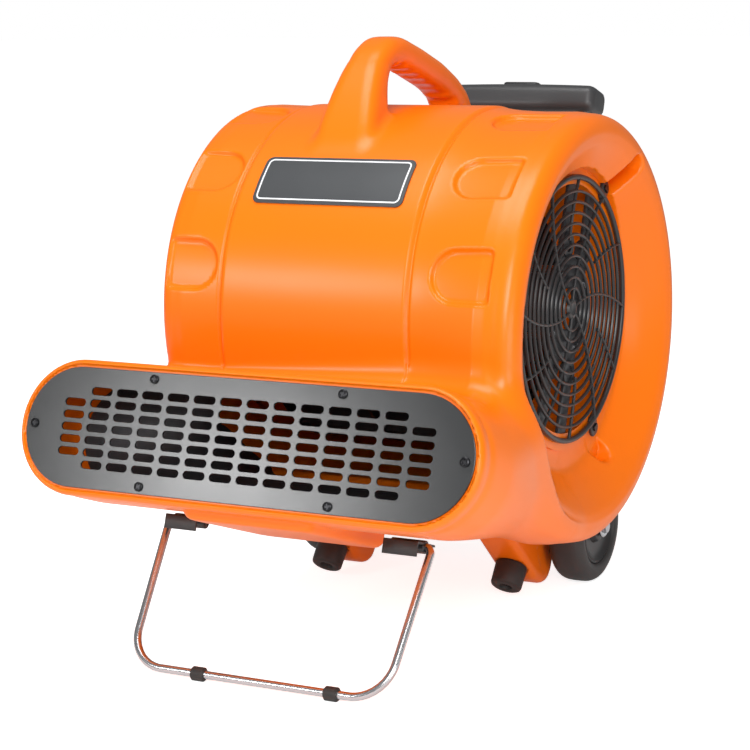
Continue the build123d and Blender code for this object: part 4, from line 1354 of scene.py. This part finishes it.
# ---------------------------------------------------------------- guards
@dataclass
class Guard:
    """Round web guard of an inlet: edge ring, wire rings, swirled spokes, boss and three lugs."""

    side: int
    seat: float
    radius: float = 127.0
    edge: float = 5.5
    skirt: float = 5.5
    rings: int = 10
    wire: float = 3.1
    boss: float = 10.0
    swirl: float = 30.0
    spokes: int = 6
    spoke_angles: tuple[float, float] = (12.0, 42.0)
    spoke_wires: tuple[float, float] = (3.0, 2.8)
    short_start: float = 0.52
    lugs: tuple[float, float, float] = (72.0, 192.0, 312.0)
    lug_ring: float = 131.0
    lug_size: tuple[float, float, float] = (22.0, 16.0, 6.0)
    lug_thick: float = 3.4
    gap: float = 2.3

    def crown(self, r: Array) -> Array:
        """Height of the web over its seat, which dishes by 2 mm towards the middle."""
        return self.skirt - 1.5 - 2.0 * (1 - (r / self.radius) ** 2)

    def spoke(self, start: float, end: float, angle: float, wire: float) -> Surface:
        """Curved spoke from radius start to end.

        Its angle turns by the swirl times 1 - (r / radius) to the power 0.8.

        Args:
            start: inner radius.
            end: outer radius.
            angle: angle at the edge, degrees.
            wire: diameter.

        Returns:
            The closed tube.
        """
        r = np.linspace(start, end, 22)
        t = np.radians(angle + self.swirl * (1 - (r / self.radius) ** 0.8))
        path = np.stack([self.crown(r), r * np.cos(t), r * np.sin(t)], -1)
        return carried(path, circle(wire / 2, 8) * np.array([1.0, 1.25]), np.array([1.0, 0, 0]))

    def surface(self) -> Surface:
        """The whole moulding, its seat at x = 0 and its face towards +X.

        Returns:
            The rim, rings, spokes, boss and lugs.
        """
        low, high, r = 0.3, self.skirt, self.radius
        rim = rounded([(low, r - 4.0), (high - 1.5, r - self.edge), (high + 0.6, r - self.edge + 2.0), (high, r),
                       (low, r)], 1.6, 2)
        parts = [lathe(rim, 120)]
        for i in range(1, self.rings + 1):
            radius = self.boss + (r - self.edge - self.boss) * i / (self.rings + 1)
            centre = float(self.crown(np.array(radius)))
            ring = circle(self.wire / 2, 8) * np.array([1.2, 1.0]) + np.array([centre, radius])
            parts.append(lathe(ring))
        for i in range(self.spokes):
            long, short = (i * 360 / self.spokes + angle for angle in self.spoke_angles)
            parts.append(self.spoke(self.boss - 3, r - 3, long, self.spoke_wires[0]))
            parts.append(self.spoke(r * self.short_start, r - 3, short, self.spoke_wires[1]))
        top, b = float(self.crown(np.array(0.0))), self.boss
        parts.append(lathe([(top - 2, 0.0), (top - 2, b - 1), (top - 1, b), (top + 1.2, b - 1.2),
                            (top + 1.6, b * 0.6), (top + 0.4, b * 0.4), (top + 0.4, 0.0)], 32))
        lug = prism(box_outline(*self.lug_size), -self.lug_thick, 0.0, 1.0).turned("Z", 90).moved(y=self.lug_ring)
        parts += [lug.turned("X", angle) for angle in self.lugs]
        return joined(parts)

    def build(self, shop: Workshop, name: str) -> None:
        """Makes the guard, mirrored for the left side.

        Args:
            shop: where pieces are made.
            name: left or right.
        """
        base = self.seat + self.side * self.gap
        flip = np.array([self.side, 1.0, 1.0])
        flat = self.surface()
        placed = Surface(flat.points * flip + np.array([base, 0, 0]), flat.blocks)
        shop.piece(f"guard_{name}", placed, GUARD, "housing", (f"grille_{name}",))


# ---------------------------------------------------------------- motor bracket
@dataclass
class MotorBracket:
    """Two long straps across the right inlet, joined by a round plate with two eyes."""

    start: float = 168.0
    thick: float = 4.0
    strap: float = 17.0
    apart: float = 48.0
    reach: float = 126.0
    eyes: tuple[float, float] = (20.0, 58.0)
    plate: tuple[float, float] = (20.0, 50.0)

    def build(self, shop: Workshop) -> None:
        """Makes the straps and the plate.

        Args:
            shop: where pieces are made.
        """
        parts = []
        for side in (-1, 1):
            strap = prism(box_outline(self.strap, 2 * self.reach, 4.0, 4), 0, self.thick, 0.9)
            parts.append(strap.turned("Z", 90).moved(x=self.start + self.thick, y=side * self.apart / 2))
            for z in (-self.eyes[1], self.eyes[1]):
                eye = lathe([(0.5, 7.0), (0.5, 13.0), (self.thick + 2.0, 12.6), (self.thick + 2.0, 7.4)], 40)
                parts.append(eye.moved(x=self.start - 0.5, y=side * self.eyes[0], z=z))
        inner, outer = self.plate
        disc = lathe([(0.2, inner), (0.2, outer), (self.thick - 0.2, outer), (self.thick - 0.2, inner)], 72)
        parts.append(disc.moved(x=self.start))
        shop.piece("motor_straps", joined(parts), MOTOR_PAINT_AND_SHADE, "housing", ("motor_spider",))


# ---------------------------------------------------------------- wheels, feet
@dataclass
class Wheel:
    """Solid tyre on a dished hub."""

    name: str
    side: int
    width: float = 38.0
    radius: float = 57.0
    hub: float = 38.0

    def build(self, shop: Workshop) -> None:
        """Makes the tyre and the hub in the row frame.

        Args:
            shop: where pieces are made.
        """
        low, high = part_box(f"tyre_{self.name}")
        centre = (low + high) / 2
        w, r, h = self.width / 2, self.radius, self.hub
        tyre = [(-w + 2.5, h), (-w, h + 5), (-w + 0.6, r - 9), (-w + 3.5, r - 3.2), (-w + 9, r - 0.4), (0.0, r),
                (w - 9, r - 0.4), (w - 3.5, r - 3.2), (w - 0.6, r - 9), (w, h + 5), (w - 2.5, h)]
        face = w - 3.0
        hub = [(-face, 6.1), (-face, h - 0.3), (face, h - 0.3), (face + 1.0, h - 2.4), (face - 1.6, h - 5.5),
               (face - 3.6, h - 12), (face - 3.6, 17.5), (face - 0.6, 15.5), (face + 1.6, 14.2), (face + 2.2, 12.5),
               (face + 2.2, 6.1)]
        shift = np.array(centre) / MM
        for kind, outline, finish, node in (("wheel_tyre", rounded(tyre, 3.0, 3), TYRE, "tyre"),
                                             ("wheel_disc", hub, GUARD, "hub")):
            body = lathe(outline, 112)
            points = (body.points * np.array([self.side, 1, 1]) + shift) * MM
            shop.piece(f"{kind}_{self.name}", Surface(points, body.blocks), finish, f"wheel_{self.name}",
                       (f"{node}_{self.name}",), placed=True, sharp=30)


@dataclass
class AxleEnds:
    """Bright rings on the ends of the axle."""

    def build(self, shop: Workshop) -> None:
        """Makes both rings in the row frame.

        Args:
            shop: where pieces are made.
        """
        low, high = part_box("axle_caps")
        middle = (low + high) / 2
        parts = []
        for side in (-1, 1):
            cap = lathe([(-3.0, 6.0), (-3.0, 10.4), (-2.2, 11.0), (-0.8, 11.0), (0.0, 10.0), (0.0, 7.4),
                         (-0.9, 6.0)], 48)
            points = cap.points * np.array([side, 1, 1]) * MM
            points += np.array([high.x if side > 0 else low.x, middle.y, middle.z])
            parts.append(Surface(points, cap.blocks))
        shop.piece("axle_rings", joined(parts), CHROME, "housing", ("axle_caps",), placed=True)


@dataclass
class Feet:
    """Rubber feet square to the legs' sloping faces, each with a recess and its screw."""

    x: float = 101.0
    y: float = 100.0
    z: float = -263.0
    lean: float = 20.0
    radius: float = 16.0
    length: float = 24.0

    def build(self, shop: Workshop) -> None:
        """Makes two feet and the screws in their recesses.

        Args:
            shop: where pieces are made.
        """
        r, n = self.radius, self.length
        outline = [(5.0, 0.0), (5.0, 5.2), (4.2, 6.0), (0.6, 6.6), (0.0, 7.4), (0.0, r - 2.6), (0.8, r - 1.2),
                   (2.4, r - 0.5), (n - 1, r), (n, r - 0.6), (n, 0.0)]
        body = lathe(outline, 56).turned("Y", -90)
        head = screw_head(4.6, 1.8).turned("Y", 90).moved(z=5.05)
        heads = []
        for side, name in ((-1, "left"), (1, "right")):
            foot = body.turned("X", -self.lean).moved(side * self.x, self.y, self.z)
            shop.piece(f"rubber_foot_{name}", foot, RUBBER, "housing", (f"foot_{name}",))
            heads.append(head.turned("X", -self.lean).moved(side * self.x, self.y, self.z))
        shop.piece("foot_screw_heads", joined(heads), SCREW, "housing", ("foot_screws",))


# ---------------------------------------------------------------- kickstand
@dataclass
class Kickstand:
    """Bent wire stand with rubber sleeves, hinged in two folded brackets."""

    wire: float = 3.75
    top: float = 137.0
    bottom: float = 131.0
    corner: float = 36.0
    eye_corner: float = 7.0
    pin: float = 98.0
    bracket_x: tuple[float, float] = (97.0, 131.0)
    bracket_y: tuple[float, float] = (-168.0, -132.0)
    bracket_z: tuple[float, float] = (-242.3, -256.0)
    sheet: float = 2.2
    hinge: tuple[float, float] = (-150.0, -246.0)

    def wire_path(self, pivot: Array, foot: Array) -> Array:
        """Centre line of the wire in row millimetres, with true arcs at its four corners.

        Args:
            pivot: middle of the hinge, row millimetres.
            foot: middle of the wire's bottom bar, row millimetres.

        Returns:
            Array (points, 3).
        """
        down = foot - pivot
        length = float(np.linalg.norm(down))
        corners = [(-self.pin, 0, 1), (-self.top, 0, self.eye_corner), (-self.bottom, length, self.corner),
                   (self.bottom, length, self.corner), (self.top, 0, self.eye_corner), (self.pin, 0, 1)]
        points: list[Array] = [np.array(corners[0][:2], float)]
        for before, at, after in zip(corners, corners[1:], corners[2:]):
            p, a, b = (np.array(q[:2], float) for q in (at, before, after))
            u, v = (a - p) / np.linalg.norm(a - p), (b - p) / np.linalg.norm(b - p)
            half = math.acos(float(np.clip(u @ v, -1, 1))) / 2
            centre = p + (u + v) / np.linalg.norm(u + v) * at[2] / math.sin(half)
            first, last = p + u * at[2] / math.tan(half), p + v * at[2] / math.tan(half)
            t = np.linspace(0, 1, 12)[:, None]
            chord = (first - centre) * (1 - t) + (last - centre) * t
            points.append(centre + chord / np.linalg.norm(chord, axis=1)[:, None] * at[2])
        points.append(np.array(corners[-1][:2], float))
        flat = np.concatenate([np.atleast_2d(p) for p in points])
        axis = down / length
        return pivot + np.stack([flat[:, 0], flat[:, 1] * axis[1], flat[:, 1] * axis[2]], -1)

    def build(self, shop: Workshop, frame: dict) -> None:
        """Makes the wire, the sleeves and the brackets.

        Args:
            shop: where pieces are made.
            frame: the loaded frame.
        """
        joint = next(j for j in frame["joints"] if j["name"] == "kickstand_fold")
        pivot = np.array([0, joint["pos_m"][1], joint["pos_m"][2]]) / MM
        boxes = {side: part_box(f"sleeve_{side}") for side in ("left", "right")}
        middle = (boxes["left"][0] + boxes["left"][1]) / 2
        path = self.wire_path(pivot, np.array([0, middle.y, middle.z]) / MM)
        down = path[len(path) // 2] - pivot
        normal = np.cross([1.0, 0, 0], down / np.linalg.norm(down))
        normal /= np.linalg.norm(normal)
        rod = carried(path, circle(self.wire, 16), normal)
        shop.piece("stand_wire", Surface(rod.points * MM, rod.blocks), CHROME, "kickstand", ("bail",), placed=True)
        for side, (low, high) in boxes.items():
            centre, r, half = (low + high) / 2, (high.z - low.z) / 2 / MM, (high.x - low.x) / 2 / MM
            ring = lathe([(-half, self.wire), (-half, r - 1.2), (-half + 1.2, r), (half - 1.2, r), (half, r - 1.2),
                          (half, self.wire)], 40)
            shop.piece(f"stand_sleeve_{side}", Surface(ring.points * MM + np.array(centre), ring.blocks), RUBBER,
                       "kickstand", (f"sleeve_{side}",), placed=True)
        for side, name in ((-1, "left"), (1, "right")):
            shop.piece(f"stand_bracket_{name}", self.bracket(side * sum(self.bracket_x) / 2), GUARD, "housing",
                       (f"bracket_{name}",), edge=0.3)

    def bracket(self, x: float) -> Surface:
        """Folded bracket: an angle of sheet, the knuckle that holds the wire, and a web between them.

        Args:
            x: X of its middle.

        Returns:
            The three together.
        """
        half, sheet = (self.bracket_x[1] - self.bracket_x[0]) / 2, self.sheet
        (y0, y1), (top, low) = self.bracket_y, self.bracket_z
        plan = rounded([(y0, top), (y0, low), (y0 + sheet, low), (y0 + sheet, top - sheet), (y1, top - sheet),
                        (y1, top)], 1.4, 3)[::-1]
        angle = skin(np.stack([np.column_stack([np.full(len(plan), at), plan]) for at in (x - half, x + half)]))
        knuckle = lathe([(-17.0, 3.85), (-17.0, 5.4), (-16.4, 6.0), (16.4, 6.0), (17.0, 5.4), (17.0, 3.85)], 32)
        web = prism(box_outline(2 * half, 8.0, 0.6, 2), self.hinge[0] - 2.0, self.hinge[0] + 2.0, 0.3)
        return joined([angle, knuckle.moved(x, *self.hinge), web.moved(x, 0, top - 4.0)])


# ---------------------------------------------------------------- tow handle
@dataclass
class TowHandle:
    """Telescopic handle behind the drum: tubes, cross pieces, grip and its button."""

    x: float = 75.0
    y: float = 207.0
    outer: tuple[float, float, float, float] = (12.5, -150.0, 215.0, 10.05)
    inner: tuple[float, float, float, float] = (10.0, -135.0, 254.0, 8.5)
    yokes: tuple[tuple[str, float], ...] = (("lower", -96.0), ("upper", 128.0))
    grip_half: float = 90.0
    grip_y: tuple[float, float] = (184.0, 228.0)
    grip_z: tuple[float, float] = (245.0, 275.0)
    grip_end: float = 0.9
    yoke_half: float = 98.0
    yoke_back: float = 224.0
    drum: float = 190.4

    def tube(self, radius: float, low: float, high: float, bore: float) -> Surface:
        """Upright tube with eased ends.

        Args:
            radius: outer radius.
            low: Z of its lower end.
            high: Z of its upper end.
            bore: inner radius.

        Returns:
            The closed tube, its axis on Z.
        """
        outline = [(low, bore), (low, radius - 0.5), (low + 0.6, radius), (high - 0.6, radius), (high, radius - 0.5),
                   (high, bore)]
        return lathe(outline, 48).turned("Y", -90)

    def yoke(self, z: float) -> Surface:
        """Cross piece: an outline round both tubes that hugs the drum, carried upwards.

        Its near side lies at the drum's half width at each height, and its ends are eased by 1 mm.

        Args:
            z: height of its middle.

        Returns:
            The closed piece.
        """
        half, back, front = self.yoke_half, self.yoke_back, math.sqrt(self.drum ** 2 - z ** 2)
        outline = rounded([(-half, front), (half, front), (half, back - 6), (half - 10, back), (10 - half, back),
                           (-half, back - 6)], 6.0, 4)
        rings = []
        for height, shrink in ((z - 9, 1.0), (z - 8, 0.0), (z + 8, 0.0), (z + 9, 1.0)):
            shape = inset(outline, shrink)
            near = shape[:, 1] < front + 3
            shape[near, 1] = math.sqrt(self.drum ** 2 - height ** 2)
            rings.append(np.column_stack([shape, np.full(len(shape), height)]))
        return skin(np.stack(rings))

    def grip(self) -> Surface:
        """Grip: a rounded section carried along X, which swells in the middle and closes at the ends.

        The section's size is 1 - 0.08 u^2 along the bar, and it falls as a quarter circle in the last 9 mm.

        Returns:
            The closed grip.
        """
        start = self.grip_end
        close = (1 - start) * np.sin(np.linspace(0, math.pi / 2, 7))
        u = np.unique(np.round(np.concatenate([np.linspace(-start, start, 25), -start - close, start + close]), 6))
        end = np.clip((np.abs(u) - start) / (1 - start), 0, 1)
        size = (1 - 0.08 * u ** 2) * (0.62 + 0.38 * np.sqrt(1 - end ** 2))
        wide, tall = self.grip_y[1] - self.grip_y[0], self.grip_z[1] - self.grip_z[0]
        section = box_outline(wide, tall, 10.0, 6)
        cy, cz = sum(self.grip_y) / 2, sum(self.grip_z) / 2
        rings = np.stack([np.broadcast_to((u * self.grip_half)[:, None], (len(u), len(section))),
                          cy + size[:, None] * section[:, 0], cz + size[:, None] * section[:, 1]], -1)
        return skin(rings)

    def build(self, shop: Workshop) -> None:
        """Makes the tubes, cross pieces, grip and button.

        Args:
            shop: where pieces are made.
        """
        for side, name in ((-1, "left"), (1, "right")):
            place = {"x": side * self.x, "y": self.y}
            shop.piece(f"tow_sleeve_{name}", self.tube(*self.outer).moved(**place), TUBE, "housing",
                       (f"outer_tube_{name}",))
            shop.piece(f"tow_tube_{name}", self.tube(*self.inner).moved(**place), CHROME, "tow_handle",
                       (f"inner_tube_{name}",))
        for name, z in self.yokes:
            shop.piece(f"tow_yoke_{name}", self.yoke(z), GRIP, "housing", (f"yoke_{name}",), edge=0.8)
        shop.piece("tow_grip", self.grip(), GRIP, "tow_handle", ("grip",))
        cy, top = sum(self.grip_y) / 2, self.grip_z[1]
        cap = prism(box_outline(42.0, 20.0, 6.0, 5), 0.0, 6.0, 2.0, 4).turned("X", -90).moved(0, cy, top + 4.0)
        shop.piece("tow_button", cap, GUARD, "release", ("release_button",))


# ---------------------------------------------------------------- switch box
@dataclass
class SwitchBox:
    """Control panel on the back: box, scale ring, knob, breaker, lamp, screws and gland."""

    half: tuple[float, float] = (50.0, 42.0)
    back: float = 204.0
    knob_z: float = 12.0
    small_x: float = 28.0
    small_z: float = -22.0
    gland_z: float = -27.0
    screw_in: float = 8.4
    front: float = 184.0
    drum: float = 190.4

    def facing(self, surface: Surface, x: float, z: float) -> Surface:
        """Turns a lathe along X to stand on the panel's back face."""
        return surface.turned("Z", 90).moved(x, self.back, z)

    def knob(self) -> Surface:
        """Knob: a fluted skirt of radius r + f cos 24 t, and a pointer bar across it.

        Returns:
            Both together, facing +X.
        """
        turns, flutes = 144, 24
        t = np.arange(turns) * (2 * math.pi / turns)
        rows = [(0.3, 14.2, 0.0), (0.8, 14.6, 0.3), (5.0, 14.2, 0.3), (6.4, 12.6, 0.1), (6.6, 0.05, 0.0)]
        rings = np.stack([np.stack([np.full(turns, h), (r + f * np.cos(flutes * t)) * np.cos(t),
                                    (r + f * np.cos(flutes * t)) * np.sin(t)], -1) for h, r, f in rows])
        bar = prism(box_outline(7.5, 28.0, 3.6, 5), -15.0, -5.5, 1.4, 4).turned("Z", 90)
        return joined([skin(rings), bar])

    def build(self, shop: Workshop) -> None:
        """Makes every piece of the panel.

        Args:
            shop: where pieces are made.
        """
        w, h = self.half
        shape = prism(box_outline(2 * w, 2 * h, 9.0, 6), -self.back, -self.front, 2.2, 4).turned("Z", 180)
        points = shape.points.copy()
        inner = points[:, 1] < self.front + 2.5
        points[inner, 1] = np.sqrt(self.drum ** 2 - points[inner, 2] ** 2)
        shop.piece("switch_box", Surface(points, shape.blocks), GRIP, "housing", ("control_panel",), edge=0.5)
        head, w, h = screw_head(*PAN_HEAD), w - self.screw_in, h - self.screw_in
        heads = [self.facing(head, x, z) for x in (-w, w) for z in (-h, h)]
        shop.piece("switch_box_screws", joined(heads), SCREW, "housing", ("panel_screws",))
        shop.piece("speed_dial", self.facing(self.knob(), 0.0, self.knob_z), GUARD, "speed_switch", ("speed_knob",))
        collar = lathe([(0.0, 5.2), (0.0, 8.0), (2.0, 8.0), (3.0, 7.2), (3.0, 5.2)], 40)
        shop.piece("breaker_ring", self.facing(collar, -self.small_x, self.small_z), CHROME, "housing",
                   ("breaker_collar",))
        lens = lathe([(0.0, 0.0), (0.0, 5.0), (1.4, 4.8), (2.4, 3.6), (3.0, 1.6), (3.0, 0.0)], 36)
        shop.piece("lamp_dome", self.facing(lens, self.small_x, self.small_z), LAMP, "housing", ("indicator_lamp",))
        gland = lathe([(0.0, 4.2), (0.0, 8.0), (3.0, 8.0), (3.6, 7.0), (7.0, 6.8), (7.6, 7.0), (10.0, 6.6), (10.6, 6.8),
                       (13.4, 6.2), (14.0, 5.2), (14.0, 4.2)], 48)
        shop.piece("cord_gland", self.facing(gland, 0.0, self.gland_z), GUARD, "housing", ("cable_gland",))


# ---------------------------------------------------------------- carried-over nodes
@dataclass
class KeptNodes:
    """CAD nodes whose own shape is shown, each with its finish."""

    finishes: tuple[tuple[Finish, tuple[str, ...]], ...] = (
        (GUARD, ("fan_blades", "fan_disc")),
        (MOTOR_PAINT_AND_SHADE, ("motor_can", "motor_bell_left", "motor_bell_right")),
        (ORANGE, ("inlet_ring_left", "inlet_ring_right")),
        (STEEL, ("motor_shaft", "motor_core", "motor_stator", "fan_hub", "bearing_left", "bearing_right",
                 "motor_studs", "wheel_axle")),
        (SCREW, ("grille_screws", "yoke_screws")),
        (RUBBER, ("motor_grommets",)),
        (CAPACITOR, ("capacitor",)),
        (RED, ("breaker_button",)),
    )

    def dress(self, frame: dict) -> None:
        """Gives each kept node its finish.

        Args:
            frame: the loaded frame.
        """
        for finish, names in self.finishes:
            for name in names:
                finish.dress(frame["nodes"][name])
                LOG.info("%s: kept", name)


# ---------------------------------------------------------------- studio
def by_camera_ray(tree: bpy.types.NodeTree, socket: bpy.types.NodeSocket, low: float, high: float) -> None:
    """Feeds a socket with one strength for what the camera sees and another for the light it gives.

    Args:
        tree: the node tree.
        socket: the socket to feed.
        low: the strength as light.
        high: the strength as seen.
    """
    ray, level = tree.nodes.new("ShaderNodeLightPath"), tree.nodes.new("ShaderNodeMapRange")
    level.inputs["To Min"].default_value, level.inputs["To Max"].default_value = low, high
    tree.links.new(ray.outputs["Is Camera Ray"], level.inputs["Value"])
    tree.links.new(level.outputs["Result"], socket)


@dataclass
class Studio:
    """Pale floor, soft lights and the camera. A light is its name, place, size, watts and target."""

    azimuth: float = 28.3
    elevation: float = 11.7
    roll: float = -2.0
    focal: float = 2218.0
    aim: tuple[float, float] = (30.0, 73.5)
    distance: float = 2173.3
    frame_width: float = 750.0
    sensor: float = 36.0
    ambient: float = 0.24
    floor_glow: tuple[float, float] = (0.1, 0.8)
    lights: tuple[tuple[str, Triple, tuple[float, float], float, Triple], ...] = (
        ("top", (0.0, -0.5, 2.3), (1.5, 1.1), 32.0, (0.0, 0.0, 0.28)),
        ("key", (1.05, -1.9, 1.25), (0.8, 0.9), 28.0, (0.0, 0.0, 0.28)),
        ("left", (-1.04, -1.87, 0.93), (0.36, 0.30), 8.0, (0.0, -0.30, 0.22)),
        ("low", (1.9, -1.0, 0.35), (1.0, 0.5), 7.0, (0.1, 0.0, 0.2)))

    def camera(self, attitude: Attitude) -> None:
        """Places the camera from its angles, its aim beside the drum's centre and its distance.

        Args:
            attitude: tilt and place of the row frame.
        """
        a, e, r = (math.radians(v) for v in (self.azimuth, self.elevation, self.roll))
        forward = np.array([-math.sin(a) * math.cos(e), math.cos(a) * math.cos(e), -math.sin(e)])
        right = np.array([math.cos(a), math.sin(a), 0.0])
        up = np.cross(right, forward)
        right, up = math.cos(r) * right + math.sin(r) * up, math.cos(r) * up - math.sin(r) * right
        place = -(self.aim[0] * right + self.aim[1] * up + self.distance * forward) * MM
        place += np.array([0, attitude.y, attitude.z])
        lens = bpy.data.cameras.new("camera")
        lens.sensor_width = self.sensor
        lens.lens = self.focal * self.sensor / self.frame_width
        lens.clip_end = 20.0
        eye = bpy.data.objects.new("camera", lens)
        basis = Matrix((right, up, -forward)).transposed().to_4x4()
        eye.matrix_world = Matrix.Translation(Vector(place)) @ basis
        bpy.context.scene.collection.objects.link(eye)
        bpy.context.scene.camera = eye

    def light(self, name: str, place: Triple, size: tuple[float, float], power: float, target: Triple) -> None:
        """Adds a soft rectangular light that looks at a point.

        Args:
            name: its name.
            place: where it stands, metres.
            size: its width and height, metres.
            power: watts.
            target: the point it looks at.
        """
        lamp = bpy.data.lights.new(name, "AREA")
        lamp.shape, lamp.energy = "RECTANGLE", power
        lamp.size, lamp.size_y = size
        holder = bpy.data.objects.new(name, lamp)
        holder.location = place
        holder.rotation_euler = (Vector(target) - Vector(place)).to_track_quat("-Z", "Y").to_euler()
        bpy.context.scene.collection.objects.link(holder)

    def build(self, attitude: Attitude) -> None:
        """Makes the world, the floor, the lights and the camera.

        Args:
            attitude: tilt and place of the row frame.
        """
        scene = bpy.context.scene
        scene.view_settings.view_transform = "Standard"
        scene.world = world = bpy.data.worlds.new("studio")
        world.use_nodes = True
        sky = world.node_tree.nodes["Background"].inputs
        sky["Color"].default_value = (1.0, 1.0, 1.0, 1)
        by_camera_ray(world.node_tree, sky["Strength"], self.ambient, 1.0)
        mesh = bpy.data.meshes.new("floor")
        mesh.from_pydata([(-9, -9, 0), (9, -9, 0), (9, 9, 0), (-9, 9, 0)], [], [(0, 1, 2, 3)])
        floor = bpy.data.objects.new("floor", mesh)
        scene.collection.objects.link(floor)
        paint = Finish("floor_paint", "", (0.93, 0.93, 0.93), (0.90, 0.90, 0.90), Grain.MOULDED, 0.9, fine=60,
                       broad=2).material()
        glow = paint.node_tree.nodes["Principled BSDF"].inputs
        glow["Emission Color"].default_value = (1, 1, 1, 1)
        by_camera_ray(paint.node_tree, glow["Emission Strength"], *self.floor_glow)
        floor.data.materials.append(paint)
        for light in self.lights:
            self.light(*light)
        self.camera(attitude)


def main() -> None:
    """Builds every sub-assembly in order."""
    logging.basicConfig(level=logging.INFO, format="%(message)s")
    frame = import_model()
    shop = Workshop(Attitude.of(frame))
    studio = Studio()
    studio.build(shop.attitude)
    KeptNodes().dress(frame)
    Shell().build(shop)
    Outlet().build(shop)
    Label().build(shop)
    Guard(-1, -134.0).build(shop, "left")
    Guard(1, 172.0).build(shop, "right")
    MotorBracket().build(shop)
    for name, side in (("left", -1), ("right", 1)):
        Wheel(name, side).build(shop)
    AxleEnds().build(shop)
    Feet().build(shop)
    Kickstand().build(shop, frame)
    TowHandle().build(shop)
    SwitchBox().build(shop)
    LOG.info("%d new pieces", len(shop.made))


if __name__ == "__main__":
    main()
